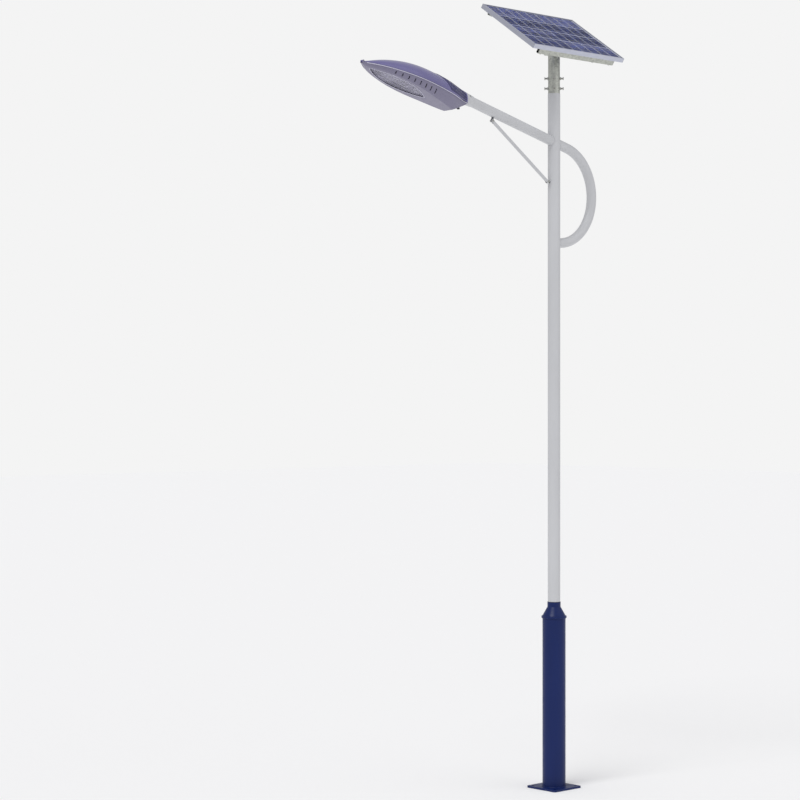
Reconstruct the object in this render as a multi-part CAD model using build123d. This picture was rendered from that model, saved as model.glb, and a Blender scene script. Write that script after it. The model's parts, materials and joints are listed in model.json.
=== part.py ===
from build123d import *
import os
from math import atan, cos, degrees, radians, sin, sqrt, tan

# Solar street lamp. Origin: centre of the base plate's underside, +Z up.
# The light arm reaches towards -X over the road and the solar panel faces -Y.
# All sizes are in millimetres and all angles in degrees.

# ---------------------------------------------------------------- base and pole
plate_side = 300.0
plate_thickness = 16.0
plate_corner_radius = 12.0
anchor_spacing = 230.0
anchor_hole_radius = 11.0
cable_inlet_radius = 40.0

base_radius = 90.0
base_wall = 4.0
base_height = 1322.0            # top of the base tube above the ground

ring_overhang = 8.0
ring_radius = base_radius + ring_overhang
ring_height = 20.0
ring_round = 6.0
cone_height = 68.0
collar_height = 38.0
collar_wall = 3.0

pole_radius = 48.5
pole_wall = 3.5
pole_top = 5405.0
pole_socket_depth = 90.0        # how far the pole reaches down into the base tube
centring_ring_thickness = 8.0

tenon_radius = 40.0
tenon_wall = 4.0
tenon_depth = 120.0             # below the pole's top
tenon_reach = 190.0             # above the pole's top
tenon_flange = 12.0

slip_clearance = 0.2            # radial clearance of pushed-on tubes of one body
turn_clearance = 0.4            # clearance between parts that turn on each other
pin_clearance = 0.05            # radial clearance of hinge pins
seam_clearance = 0.5            # between a hatch or cover and what it closes on

# ---------------------------------------------------------------- light arm and brace
arm_radius = 38.0
arm_wall = 3.0
arm_drop = 377.0                # pole's top down to the arm's axis
arm_tilt = 14.1
arm_reach = 1000.0              # pole's axis to the back of the lamp head
arm_insertion = 105.0           # how far the arm reaches into the head
loop_radius = 378.0
loop_end_drop = 1159.0          # pole's top down to the loop's lower end
cable_hole_radius = 16.0

brace_radius = 12.5
brace_wall = 3.0
brace_arm_reach = 672.0         # pole's axis to the upper brace bolt
brace_pole_drop = 690.0         # pole's top down to the lower brace bolt
brace_lug_gap = 26.0            # bolt's axis to the tube that carries its lug
lug_thickness = 8.0
lug_half_length = 22.0
brace_bolt_radius = 4.0

# ---------------------------------------------------------------- service hatch
hatch_bottom = 350.0
hatch_height = 400.0
hatch_half_angle = 38.0
hatch_edge_gap = 2.0
hatch_frame_width = 14.0
hatch_frame_lap = 8.0
hatch_frame_wall = 4.0
hinge_offset = 7.0              # hinge axis outside the tube's surface
hinge_radius = 6.0
hinge_pin_radius = 3.0
hinge_leaf = 22.0
hinge_leaf_thickness = 3.0
hinge_knuckle = 20.0            # length of one hinge knuckle
hinge_inset = 60.0              # hatch's end to the middle of a hinge
lock_angle = 24.0
lock_radius = 10.0
lock_plug_radius = 6.0
lock_flange = 3.0
cam_depth = 11.0                # cam's outer face behind the hatch
cam_thickness = 3.0
cam_length = 28.0
cam_half_width = 7.0

# ---------------------------------------------------------------- battery and controller
stand_height = 44.0
stand_radius = 78.0
stand_wall = 4.0
stand_hole_radius = 9.0
battery_side = 100.0
battery_height = 300.0
battery_lid_height = 12.0
terminal_radius = 7.0
terminal_height = 16.0
controller_z = 480.0
controller_size = (35.0, 90.0, 150.0)
bracket_thickness = 4.0
bracket_offset = 66.0           # pole's axis to the controller's back

# ---------------------------------------------------------------- lamp head
head_tilt = 11.5
head_length = 1012.0
head_half_width = 166.0
crest_height = 125.0
belly_depth = 98.0
rim_drop = 47.0                 # arm's axis down to the head's rim at its back
head_wall = 3.0
# place along the head, then half width, crest and belly as shares of the sizes above
head_stations = [
    (0.00, 0.37, 0.75, 0.14),
    (0.12, 0.55, 0.84, 1.04),
    (0.30, 0.84, 0.97, 1.00),
    (0.50, 1.00, 1.00, 0.92),
    (0.68, 0.95, 0.86, 0.74),
    (0.81, 0.77, 0.62, 0.54),
    (0.89, 0.57, 0.41, 0.40),
    (0.95, 0.34, 0.22, 0.27),
    (1.00, 0.10, 0.07, 0.10),
]
floor_depth = 92.0              # flat underside below the rim, where it starts
floor_start = 130.0
floor_slope = 0.083
heel_depth = 12.0               # sloping heel below the rim at the head's back
heel_slope = 0.62
rim_flange = 3.0
rim_flange_width = 10.0
rim_flange_height = 8.0
gasket_width = 7.0
gasket_thickness = 2.0
bulkhead_thickness = 5.0
bulkhead_clearance = 1.0
neck_radius = 46.0
neck_mouth_radius = 41.5
neck_length = 88.0
neck_spigot_radius = 41.3

vent_count = 8
vent_pitch = 56.3
vent_start = 402.0
vent_width = 9.0
vent_lean = 18.0
vent_from = 0.38                # top and bottom of a vent as shares of the floor's depth
vent_to = 0.84

window_middle = 665.0
window_length = 570.0
window_half_width = 100.0
window_lap = 8.0
window_gasket = 1.5
glass_thickness = 4.0
retainer_thickness = 2.0
retainer_lip = 4.0

sink_length = 370.0
sink_half_width = 74.0
sink_point = 60.0               # length of each pointed end
sink_height = 26.0              # plate's underside above the head's outer floor
sink_plate = 4.0
fin_height = 12.0
fin_thickness = 3.0
fin_count = 7
sink_post_radius = 5.0
board_thickness = 1.6
lens_radius = 6.0
lens_height = 5.0
lens_columns = 12
lens_rows = 4
lens_pitch = 20.0
lens_row_pitch = 26.0

tray_start = 45.0
# place along the tray, then its half width plus the flange's as a share of the head's
tray_stations = [(0.0, 0.375), (0.192, 0.546), (0.392, 0.703), (0.656, 0.838), (1.0, 0.960)]
tray_end = 440.0
tray_drop = 6.0
tray_thickness = 3.0
clamp_start = 60.0
clamp_length = 42.0
clamp_wall = 3.5
clamp_screw_radius = 4.0
driver_start = 190.0
driver_size = (190.0, 62.0, 34.0)
block_start = 392.0
block_size = (26.0, 70.0, 18.0)

nose_pin_radius = 2.5
nose_eye_radius = 5.5
nose_eye_length = 18.0
nose_pin_rise = 9.0
nose_pin_reach = 9.0            # pin's axis in front of the head's tip

latch_reach = 30.0              # latch's axis in front of the head's back
latch_shaft_radius = 4.0
latch_tongue_length = 43.5
latch_tongue_width = 9.0
latch_tongue_thickness = 3.0
latch_tongue_drop = 9.5
latch_knob_radius = 12.0
latch_knob_height = 12.0
keeper_width = 12.0
keeper_foot = 3.0
keeper_reach = 39.0             # head's middle to the keeper's inner end
keeper_leg = 44.5               # head's middle to the keeper's leg
keeper_bridge = 30.0            # rim up to where the keeper meets the cover

# ---------------------------------------------------------------- panel mount
sleeve_radius = 46.0
sleeve_wall = 3.6
sleeve_height = 300.0
set_bolt_rows = (40.0, 118.0)   # heights of the two rows above the sleeve's foot
set_bolt_radius = 6.0
set_bolt_reach = 29.0           # bolt's outer end beyond the sleeve
nut_height = 9.0
nut_flat = 19.0                 # across flats
head_height = 7.5

pivot_height = 70.0             # tilt axis above the sleeve's top
yoke_plate_thickness = 8.0
yoke_plate_side = 110.0
yoke_cheek_thickness = 8.0
yoke_inner_gap = 88.0
yoke_half_depth = 44.0
yoke_rise = 22.0                # cheeks' top above the tilt axis
pivot_bolt_radius = 6.0
lock_bolt_radius = 5.0
lock_slot_radius = 32.0
lock_slot_clearance = 0.5
tilt_down = 24.0                # how far the panel tilts flatter than at rest
tilt_up = 16.0                  # how far it tilts steeper

# ---------------------------------------------------------------- solar panel
panel_tilt = 34.4
panel_length = 1020.0
panel_width = 670.0
panel_depth = 35.0
panel_rise = 61.5               # tilt axis to the frame's underside, square to the panel
panel_shift = 64.0              # panel's middle up its slope from the tilt axis
frame_wall = 2.5
frame_lip = 11.0
frame_flange = 25.0
lip_thickness = 1.5
flange_thickness = 2.0
panel_glass_thickness = 3.2
cell_thickness = 0.5
backsheet_thickness = 0.6
glass_edge_gap = 0.5
cell_columns = 9
cell_rows = 4
cell_length = 104.0
cell_width = 156.0
cell_gap = 3.0

rail_length = 850.0
rail_height = 40.0
rail_width = 25.0
rail_inset = 8.0
rail_wall = 2.5
ear_thickness = 8.0
ear_half_length = 48.0
ear_drop = 20.0                 # ears' end below the tilt axis

box_size = (110.0, 90.0, 20.0)
box_lid_height = 6.0
box_inset = 120.0               # panel's upper edge to the junction box's middle
gland_radius = 9.0
gland_length = 24.0

# ---------------------------------------------------------------- derived places
arm_root_z = pole_top - arm_drop
head_x = -arm_reach
head_z = arm_root_z + arm_reach * tan(radians(arm_tilt))
arm_frame = Pos(head_x, 0, head_z) * Rot(0, arm_tilt, 0)
head_frame = Pos(head_x, 0, head_z) * Rot(0, head_tilt, 0) * Pos(0, 0, -rim_drop)
sleeve_foot = pole_top + turn_clearance
sleeve_top = sleeve_foot + sleeve_height
pivot_z = sleeve_top + pivot_height
tilt_frame = Pos(0, 0, pivot_z) * Rot(panel_tilt, 0, 0)
panel_frame = tilt_frame * Pos(0, panel_shift, 0)


def tube(outer, wall, length):
    """Round tube standing on the XY plane."""
    return cylinder(outer, length) - cylinder(outer - wall, length)


def cylinder(radius, length):
    return Cylinder(radius, length, align=(Align.CENTER, Align.CENTER, Align.MIN))


def block(x0, x1, y0, y1, z0, z1):
    """Box between two corners."""
    return Pos((x0 + x1) / 2, (y0 + y1) / 2, (z0 + z1) / 2) * Box(x1 - x0, y1 - y0, z1 - z0)


def hexagon(flat, height):
    """Hexagonal prism standing on the XY plane, measured across its flats."""
    return extrude(RegularPolygon(flat / sqrt(3), 6), height)


def along_x(start):
    """Frame whose Z runs along +X from the given point."""
    return Pos(*start) * Rot(0, 90, 0)


def along_y(start):
    """Frame whose Z runs along +Y from the given point."""
    return Pos(*start) * Rot(-90, 0, 0)


def write(node, *pieces):
    """Write one node: every piece's solids, kept separate."""
    solids = [solid for piece in pieces for solid in piece.solids()]
    shape = solids[0] if len(solids) == 1 else Compound(solids)
    export_step(shape, f"parts/{node}.step")


# ================================================================ base and pole
def base_plate():
    plate = block(-plate_side / 2, plate_side / 2, -plate_side / 2, plate_side / 2, 0, plate_thickness)
    plate = fillet(plate.edges().filter_by(Axis.Z), plate_corner_radius)
    plate -= cylinder(cable_inlet_radius, plate_thickness)
    for hole in GridLocations(anchor_spacing, anchor_spacing, 2, 2):
        plate -= hole * cylinder(anchor_hole_radius, plate_thickness)
    return plate


def sector(inner, outer, half_angle, z0, height):
    """Part of a tube's wall about the +X direction."""
    ring = Pos(0, 0, z0) * tube(outer, outer - inner, height)
    reach = 2 * outer
    side = reach * tan(radians(half_angle))
    wedge = make_face(Polyline((0, 0), (reach, -side), (reach, side), close=True))
    return ring & Pos(0, 0, z0) * extrude(wedge, height)


def edge_angle(distance):
    """Angle that a distance along the tube's surface spans."""
    return degrees(distance / base_radius)


def base_tube():
    wall = Pos(0, 0, plate_thickness) * tube(base_radius, base_wall, base_height - plate_thickness)
    gap_angle = hatch_half_angle + edge_angle(hatch_edge_gap)
    opening = sector(base_radius - 2 * base_wall, base_radius + base_wall, gap_angle,
                     hatch_bottom - hatch_edge_gap, hatch_height + 2 * hatch_edge_gap)
    return wall - opening


def base_collar():
    """Rolled ring, cone and collar between the base tube and the pole."""
    bore = pole_radius + slip_clearance
    cone_foot = base_height + ring_height
    cone_top = cone_foot + cone_height
    top = cone_top + collar_height
    inner_foot = base_radius - base_wall
    outline = Polyline(
        (inner_foot, base_height),
        (ring_radius, base_height),
        (ring_radius, cone_foot),
        (base_radius, cone_foot),
        (bore + collar_wall, cone_top),
        (bore + collar_wall, top),
        (bore, top),
        (bore, cone_top - collar_wall),
        (inner_foot, cone_foot - collar_wall),
        close=True,
    )
    shape = revolve(Plane.XZ * make_face(outline), Axis.Z)
    rim = shape.edges().filter_by(GeomType.CIRCLE).filter_by(lambda e: abs(e.radius - ring_radius) < 0.01)
    return fillet(rim, ring_round)


def upper_pole():
    foot = base_height - pole_socket_depth
    pole = Pos(0, 0, foot) * tube(pole_radius, pole_wall, pole_top - foot)
    cable_hole = along_x((-2 * pole_radius, 0, arm_root_z)) * cylinder(cable_hole_radius, 2 * pole_radius)
    return pole - cable_hole


def pole_centring_ring():
    foot = base_height - pole_socket_depth + centring_ring_thickness
    outer = base_radius - base_wall - slip_clearance
    inner = pole_radius + slip_clearance
    return Pos(0, 0, foot) * tube(outer, outer - inner, centring_ring_thickness)


def pole_tenon():
    foot = pole_top - tenon_depth
    tenon = Pos(0, 0, foot) * tube(tenon_radius, tenon_wall, tenon_depth + tenon_reach)
    flange_radius = pole_radius - pole_wall - slip_clearance
    flange = tube(flange_radius, flange_radius - tenon_radius + tenon_wall / 2, tenon_flange)
    for z in (foot, pole_top - tenon_flange):
        tenon += Pos(0, 0, z) * flange
    return tenon


# ================================================================ arm and brace
def arm_ring():
    return Circle(arm_radius) - Circle(arm_radius - arm_wall)


def pole_void():
    """Space that the pole takes, for tubes that meet it in a saddle."""
    return Pos(0, 0, pole_top - 2 * loop_end_drop) * cylinder(pole_radius, 3 * loop_end_drop)


def light_arm():
    length = arm_reach / cos(radians(arm_tilt)) + arm_insertion
    tube_solid = arm_frame * along_x((-arm_insertion, 0, 0)) * extrude(arm_ring(), length)
    return tube_solid - pole_void()


def loop_path():
    """Arm's line, one tangent arc down and a short run back to the pole."""
    tilt = radians(arm_tilt)
    bottom_z = pole_top - loop_end_drop
    middle_z = bottom_z + loop_radius
    # the arc starts where its top tangent runs along the arm's line
    start_z = middle_z + loop_radius * cos(tilt)
    start_x = (arm_root_z - start_z) / tan(tilt)
    middle_x = start_x - loop_radius * sin(tilt)
    far = (middle_x + loop_radius, 0, middle_z)
    start = (start_x, 0, start_z)
    return (0, 0, arm_root_z), start, far, (middle_x, 0, bottom_z), (0, 0, bottom_z)


def arm_loop():
    root, start, far, bottom, end = loop_path()
    path = Line(root, start) + ThreePointArc(start, far, bottom) + Line(bottom, end)
    direction = Vector(*start) - Vector(*root)
    profile = Plane(origin=root, z_dir=direction) * arm_ring()
    loop = sweep(profile, path=path) - pole_void()
    behind = block(-2 * loop_radius, 0, -2 * arm_radius, 2 * arm_radius,
                   pole_top - 2 * loop_end_drop, pole_top)
    return loop - behind


def brace_ends():
    """Upper and lower bolt axes in the XZ plane."""
    tilt = radians(arm_tilt)
    axis_z = arm_root_z + brace_arm_reach * tan(tilt)
    drop = arm_radius + brace_lug_gap
    upper = Vector(-brace_arm_reach - drop * sin(tilt), 0, axis_z - drop * cos(tilt))
    lower = Vector(-pole_radius - brace_lug_gap, 0, pole_top - brace_pole_drop)
    return upper, lower


def brace_frame():
    upper, lower = brace_ends()
    return Plane(origin=lower, x_dir=(0, 1, 0), z_dir=upper - lower), (upper - lower).length


def brace_rod():
    plane, span = brace_frame()
    end = 2.2 * brace_bolt_radius
    rod = Pos(0, 0, -end) * cylinder(brace_radius, span + 2 * end)
    plug = lug_half_length + end
    rod -= Pos(0, 0, plug) * cylinder(brace_radius - brace_wall, span - 2 * plug)
    slot_half = lug_thickness / 2 + turn_clearance
    for z0, z1 in ((-end, lug_half_length), (span - lug_half_length, span + end)):
        rod -= block(-slot_half, slot_half, -brace_radius, brace_radius, z0, z1)
    for z in (0, span):
        rod -= along_x((-brace_radius, 0, z)) * cylinder(brace_bolt_radius + pin_clearance, 2 * brace_radius)
    return Location(plane) * rod


def brace_lugs():
    """Upper and lower ears with round ends, welded to the arm and the pole."""
    upper, lower = brace_ends()
    eye_radius = 2.2 * brace_bolt_radius
    hole = brace_bolt_radius + pin_clearance
    half = lug_thickness / 2

    def ear(depth):
        plate = block(-depth, 0, -half, half, -eye_radius, eye_radius)
        plate += along_y((0, -half, 0)) * cylinder(eye_radius, lug_thickness)
        return plate - along_y((0, -half, 0)) * cylinder(hole, lug_thickness)

    reach = brace_lug_gap + arm_wall
    arm_ear = Pos(*upper) * Rot(0, arm_tilt + 90, 0) * ear(reach)
    arm_tube = arm_frame * along_x((-arm_insertion, 0, 0)) * cylinder(arm_radius, 2 * arm_reach)
    pole_ear = Pos(*lower) * Rot(0, 180, 0) * ear(reach)
    return arm_ear - arm_tube, pole_ear - pole_void()


def cross_bolt(radius, half_grip, flat, nut):
    """Bolt along Y through the origin with its head and nut outside the grip."""
    shank = along_y((0, -half_grip, 0)) * cylinder(radius, 2 * half_grip + nut + radius / 2)
    head = along_y((0, -half_grip - nut, 0)) * hexagon(flat, nut)
    bolt = head + shank
    hex_nut = along_y((0, half_grip, 0)) * (hexagon(flat, nut) - cylinder(radius, nut))
    return bolt, hex_nut


def brace_bolts():
    pieces = []
    for end in brace_ends():
        for piece in cross_bolt(brace_bolt_radius, brace_radius, 3.2 * brace_bolt_radius, brace_bolt_radius * 1.5):
            pieces.append(Pos(*end) * piece)
    return pieces


# ================================================================ service hatch
def hatch_top():
    return hatch_bottom + hatch_height


def hinge_axis():
    """Hinge line's place in plan, just outside the tube beside the hatch."""
    reach = base_radius + hinge_offset
    angle = radians(hatch_half_angle + edge_angle(hatch_edge_gap + hinge_radius / 2))
    return reach * cos(angle), reach * sin(angle)


def hinge_heights():
    return hatch_bottom + hinge_inset, hatch_top() - hinge_inset


def knuckle(z0, hand):
    """One knuckle with its leaf; hand 1 reaches to the tube, -1 to the hatch."""
    x, y = hinge_axis()
    angle = degrees(atan(y / x))
    length = hinge_knuckle - turn_clearance
    leaf = block(-hinge_offset - 1, 0, min(0, hand * hinge_leaf), max(0, hand * hinge_leaf), 0, length)
    barrel = cylinder(hinge_radius, length)
    body = Pos(x, y, z0) * Rot(0, 0, angle) * (barrel + leaf)
    skin = Pos(0, 0, z0) * cylinder(base_radius + hinge_leaf_thickness, length)
    near = body & (skin + Pos(x, y, z0) * cylinder(hinge_radius, length))
    return near - Pos(0, 0, z0) * cylinder(base_radius, length)


def pin_bore(z0, length):
    x, y = hinge_axis()
    return Pos(x, y, z0) * cylinder(hinge_pin_radius + pin_clearance, length)


def hatch_hinge_fixed():
    knuckles = []
    for middle in hinge_heights():
        for foot in (middle - 1.5 * hinge_knuckle, middle + 0.5 * hinge_knuckle):
            knuckles.append(knuckle(foot, 1) - pin_bore(foot, hinge_knuckle))
    return knuckles


def hatch_hinge_pins():
    x, y = hinge_axis()
    return [Pos(x, y, middle - 1.5 * hinge_knuckle) * cylinder(hinge_pin_radius, 3 * hinge_knuckle)
            for middle in hinge_heights()]


def lock_frame():
    """Frame on the pole's axis whose Z runs out through the lock."""
    middle_z = hatch_bottom + hatch_height / 2
    return Pos(0, 0, middle_z) * Rot(0, 0, -lock_angle) * Rot(0, 90, 0)


def hatch_inner_radius():
    return base_radius - base_wall + seam_clearance


def hatch_door():
    door = sector(hatch_inner_radius(), base_radius, hatch_half_angle, hatch_bottom, hatch_height)
    for middle in hinge_heights():
        foot = middle - 0.5 * hinge_knuckle
        door += knuckle(foot, -1)
        door -= pin_bore(foot, hinge_knuckle)
    hole = lock_frame() * Pos(0, 0, base_radius / 2) * cylinder(lock_radius + slip_clearance, base_radius)
    return door - hole


def lock_barrel():
    """Round barrel through the hatch with a flange outside and a nut inside."""
    seat = base_radius
    inner = cam_face() + slip_clearance
    barrel = Pos(0, 0, inner) * cylinder(lock_radius, seat + lock_flange - inner)
    barrel += Pos(0, 0, seat) * cylinder(lock_radius + 3, lock_flange)
    bore = Pos(0, 0, inner) * cylinder(lock_plug_radius + pin_clearance, base_radius)
    return lock_frame() * (barrel - bore)


def cam_face():
    """Distance from the pole's axis to the cam's outer face."""
    return base_radius - base_wall - cam_depth


def lock_cam():
    """Plug with a key slot outside and a tongue inside, at rest turned up and released."""
    face = cam_face()
    plug = Pos(0, 0, face - cam_thickness) * cylinder(lock_plug_radius, base_radius + lock_flange - face + cam_thickness)
    tongue = block(-cam_length, 0, -cam_half_width, cam_half_width, face - cam_thickness, face)
    tongue += Pos(0, 0, face - cam_thickness) * cylinder(cam_half_width, cam_thickness)
    slot_top = base_radius + lock_flange
    slot = block(-lock_plug_radius * 0.7, lock_plug_radius * 0.7, -1, 1, slot_top - 2, slot_top)
    return lock_frame() * (plug + tongue - slot)


def hatch_frame():
    """Frame welded inside the opening; the hatch lies on its lap."""
    outer = base_radius - base_wall
    outside = hatch_half_angle + edge_angle(hatch_frame_width)
    inside = hatch_half_angle - edge_angle(hatch_frame_lap)
    frame = sector(outer - hatch_frame_wall, outer, outside, hatch_bottom - hatch_frame_width,
                   hatch_height + 2 * hatch_frame_width)
    window = sector(outer - 2 * hatch_frame_wall, outer + 1, inside, hatch_bottom + hatch_frame_lap,
                    hatch_height - 2 * hatch_frame_lap)
    return frame - window


# ================================================================ battery and controller
def battery_foot():
    return plate_thickness + stand_height


def battery_stand():
    """Turned stand over the cable inlet, with two holes for the cables."""
    stand = Pos(0, 0, plate_thickness) * cylinder(stand_radius, stand_height)
    stand -= Pos(0, 0, plate_thickness) * cylinder(stand_radius - stand_wall, stand_height - stand_wall)
    hole_reach = (battery_side / 2 + stand_radius - stand_wall) / 2
    for x in (-hole_reach, hole_reach):
        stand -= Pos(x, 0, plate_thickness) * cylinder(stand_hole_radius, stand_height)
    return stand


def battery_case():
    half = battery_side / 2
    foot = battery_foot()
    return fillet(block(-half, half, -half, half, foot, foot + battery_height).edges().filter_by(Axis.Z), 6)


def battery_lid():
    half = battery_side / 2
    foot = battery_foot() + battery_height
    lid = fillet(block(-half, half, -half, half, foot, foot + battery_lid_height).edges().filter_by(Axis.Z), 6)
    return chamfer(lid.faces().sort_by(Axis.Z)[-1].edges(), 2)


def battery_terminals():
    foot = battery_foot() + battery_height + battery_lid_height
    post = cylinder(terminal_radius, terminal_height)
    return [Pos(0, y, foot) * post for y in (-battery_side / 4, battery_side / 4)]


def controller_bracket():
    """Upright plate with two pads that reach the tube's inside."""
    half_width = controller_size[1] / 2
    z0 = controller_z - 15
    z1 = controller_z + controller_size[2] + 15
    back = -bracket_offset - bracket_thickness
    plate = block(back, -bracket_offset, -half_width, half_width, z0, z1)
    for z in (z0 + 5, z1 - 25):
        plate += block(-base_radius, back, -20, 20, z, z + 20)
    room = Pos(0, 0, z0) * cylinder(base_radius - base_wall, z1 - z0)
    return plate & room


def charge_controller():
    depth, width, height = controller_size
    case = block(-bracket_offset, -bracket_offset + depth, -width / 2, width / 2,
                 controller_z, controller_z + height)
    case = fillet(case.edges().filter_by(Axis.X), 6)
    pitch = width / 7
    for step in range(6):
        y = (step - 2.5) * pitch
        case -= block(-bracket_offset + depth - 12, -bracket_offset + depth, y - 4, y + 4,
                      controller_z, controller_z + 14)
    return case


def earth_stud():
    """Earthing stud welded inside the base tube below the hatch."""
    reach = base_radius - base_wall
    frame = Pos(0, 0, hatch_bottom - 60) * Rot(0, 0, 90) * Rot(0, 90, 0)
    stud = frame * Pos(0, 0, reach - 26) * cylinder(5, 26)
    room = Pos(0, 0, hatch_bottom - 80) * cylinder(reach, 40)
    nut = frame * Pos(0, 0, reach - 14) * (hexagon(17, 8) - cylinder(5, 8))
    return stud & room, nut


# ================================================================ lamp head
def section(place, half_width, height, foot=0.0):
    """Half ellipse across the head; a negative height hangs below the rim."""
    plane = Plane(origin=(-place, 0, foot), x_dir=(0, 1, 0), z_dir=(1, 0, 0))
    start = 0 if height > 0 else 180
    arc = EllipticalCenterArc((0, 0), half_width, abs(height), start_angle=start, arc_size=180)
    return plane * make_face(arc + Line(arc @ 1, arc @ 0))


def head_loft(side, inset, foot=0.0, start=0.0, end=0.0):
    """Upper (side 1) or lower (side -1) half of the head's body, shrunk by an inset."""
    faces = []
    for share, width, crest, belly in head_stations:
        place = start + share * (head_length - start - end)
        height = crest * crest_height - foot if side > 0 else -belly * belly_depth
        half_width = max(width * head_half_width - inset, 4)
        height = side * max(abs(height) - inset, 3)
        faces.append(section(place, half_width, height, foot))
    return loft(faces)


def floor_angle():
    return degrees(atan(floor_slope))


def floor_z(place):
    """Height of the head's flat underside below the rim, at a place along the head."""
    return -(floor_depth - (place - floor_start) * floor_slope)


def below_floor(raise_by):
    slab = Pos(0, 0, -200) * Box(3 * head_length, 3 * head_half_width, 400)
    return Pos(-floor_start, 0, -floor_depth + raise_by) * Rot(0, floor_angle(), 0) * slab


def below_heel(raise_by):
    slab = Pos(0, 0, -200) * Box(3 * head_length, 3 * head_half_width, 400)
    lift = raise_by * sqrt(1 + heel_slope ** 2)
    return Pos(0, 0, -heel_depth + lift) * Rot(0, -degrees(atan(heel_slope)), 0) * slab


def tub(inset, start=0.0, end=0.0):
    """Lower half of the head with its flat floor and its sloping heel."""
    return head_loft(-1, inset, start=start, end=end) - below_floor(inset) - below_heel(inset)


def plan_outline(offset):
    """Face of the head's plan at the rim, grown by an offset at its sides and nose."""
    right = [(-share * (head_length + offset), width * head_half_width + offset)
             for share, width, crest, belly in head_stations]
    left = [(x, -y) for x, y in reversed(right)]
    nose = Line(right[-1], left[0])
    back = Line(left[-1], right[0])
    return make_face(Spline(*right) + nose + Spline(*left) + back)


def rim_flange_band():
    """Flange along the housing's rim, open at the head's back."""
    outer = head_loft(-1, -rim_flange, end=-rim_flange)
    inner = head_loft(-1, rim_flange_width, start=-1, end=rim_flange_width)
    reach = 2 * head_length
    below = block(-reach, reach, -reach, reach, -2 * belly_depth, -rim_flange_height)
    return outer - inner - below


def floor_frame():
    """Frame on the flat underside at the window's middle, Z into the head."""
    return Pos(-window_middle, 0, floor_z(window_middle)) * Rot(0, floor_angle(), 0)


def window_face(offset):
    """Pointed oval of two arcs."""
    half = window_length / 2 + offset
    width = window_half_width + offset
    ends = (-half, 0), (half, 0)
    upper = ThreePointArc(ends[0], (0, width), ends[1])
    lower = ThreePointArc(ends[1], (0, -width), ends[0])
    return make_face(upper + lower)


def vent_cutters():
    cutters = []
    for step in range(vent_count):
        place = vent_start + step * vent_pitch
        depth = -floor_z(place)
        height = (vent_to - vent_from) * depth
        middle = -(vent_to + vent_from) / 2 * depth
        slot = Box(vent_width, 3 * head_half_width, height)
        cutters.append(Pos(-place, 0, middle) * Rot(0, -vent_lean, 0) * slot)
    return cutters


def nose_pin_frame():
    """Frame of the cover's hinge pin, Z along +Y."""
    return Pos(-head_length - nose_pin_reach, 0, nose_pin_rise) * Rot(-90, 0, 0)


def nose_lugs():
    """Two eyes in front of the tip that hold the cover's hinge pin."""
    lugs = []
    for side in (-1, 1):
        y0 = side * (nose_eye_length / 2 + turn_clearance)
        y1 = side * (nose_eye_length / 2 + turn_clearance + 5)
        low, high = min(y0, y1), max(y0, y1)
        arm = block(-head_length - nose_pin_reach - 4, -head_length + 22, low, high,
                    -rim_flange_height, -0.5)
        arm += block(-head_length - nose_pin_reach - nose_eye_radius,
                     -head_length - nose_pin_reach + nose_eye_radius, low, high,
                     -rim_flange_height, nose_pin_rise)
        eye = Pos(-head_length - nose_pin_reach, low, nose_pin_rise) * Rot(-90, 0, 0)
        arm += eye * cylinder(nose_eye_radius, high - low)
        lugs.append(arm)
    return lugs


def nose_bore(length):
    return nose_pin_frame() * Pos(0, 0, -length / 2) * cylinder(nose_pin_radius + pin_clearance, length)


def latch_frame():
    return Pos(-latch_reach, 0, 0)


def lower_housing():
    shell = tub(0) - tub(head_wall, start=head_wall, end=5 * head_wall)
    shell += rim_flange_band()
    shell -= floor_frame() * Pos(0, 0, -20) * extrude(window_face(0), 20 + 2 * head_wall)
    for cutter in vent_cutters():
        shell -= cutter
    for lug in nose_lugs():
        shell += lug
    shell -= nose_bore(3 * nose_eye_length)
    shell -= latch_frame() * Pos(0, 0, -belly_depth) * cylinder(latch_shaft_radius + turn_clearance, belly_depth)
    return head_frame * shell


def arm_solid(radius, reach):
    """Solid along the arm's axis from inside the head to a reach behind its back."""
    return arm_frame * along_x((-2 * arm_insertion, 0, 0)) * cylinder(radius, 2 * arm_insertion + reach)


def cover_foot():
    return gasket_thickness + turn_clearance


def rear_bulkhead():
    """Upright plate that closes the head's back inside the cover."""
    share, width, crest, belly = head_stations[0]
    half_width = width * head_half_width - head_wall - bulkhead_clearance
    foot = gasket_thickness
    height = crest * crest_height - foot - head_wall - bulkhead_clearance
    upper = section(0, half_width, height, foot)
    between_flanges = width * head_half_width - rim_flange_width - slip_clearance
    lower = section(0, between_flanges, -(foot + heel_depth - 1.5 * head_wall), foot)
    place = Pos(-head_wall, 0, 0)
    plate = place * (extrude(upper, -bulkhead_thickness) + extrude(lower, -bulkhead_thickness))
    return head_frame * plate - arm_solid(arm_radius + slip_clearance, neck_length)


def arm_neck():
    """Cone over the arm behind the head, with a short spigot against the bulkhead."""
    cone = along_x((-10, 0, 0)) * Solid.make_cone(neck_radius + 0.5, neck_mouth_radius, neck_length + 10)
    spigot = along_x((-10, 0, 0)) * cylinder(neck_spigot_radius, 10 + neck_length / 2)
    big = 4 * neck_radius
    behind_gap = head_frame * block(seam_clearance, 3 * neck_length, -big, big, -big, big)
    behind_plate = head_frame * block(-head_wall, 3 * neck_length, -big, big, -big, big)
    neck = (arm_frame * cone) & behind_gap
    neck += (arm_frame * spigot) & behind_plate
    return neck - arm_solid(arm_radius + slip_clearance, 2 * neck_length)


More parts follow.
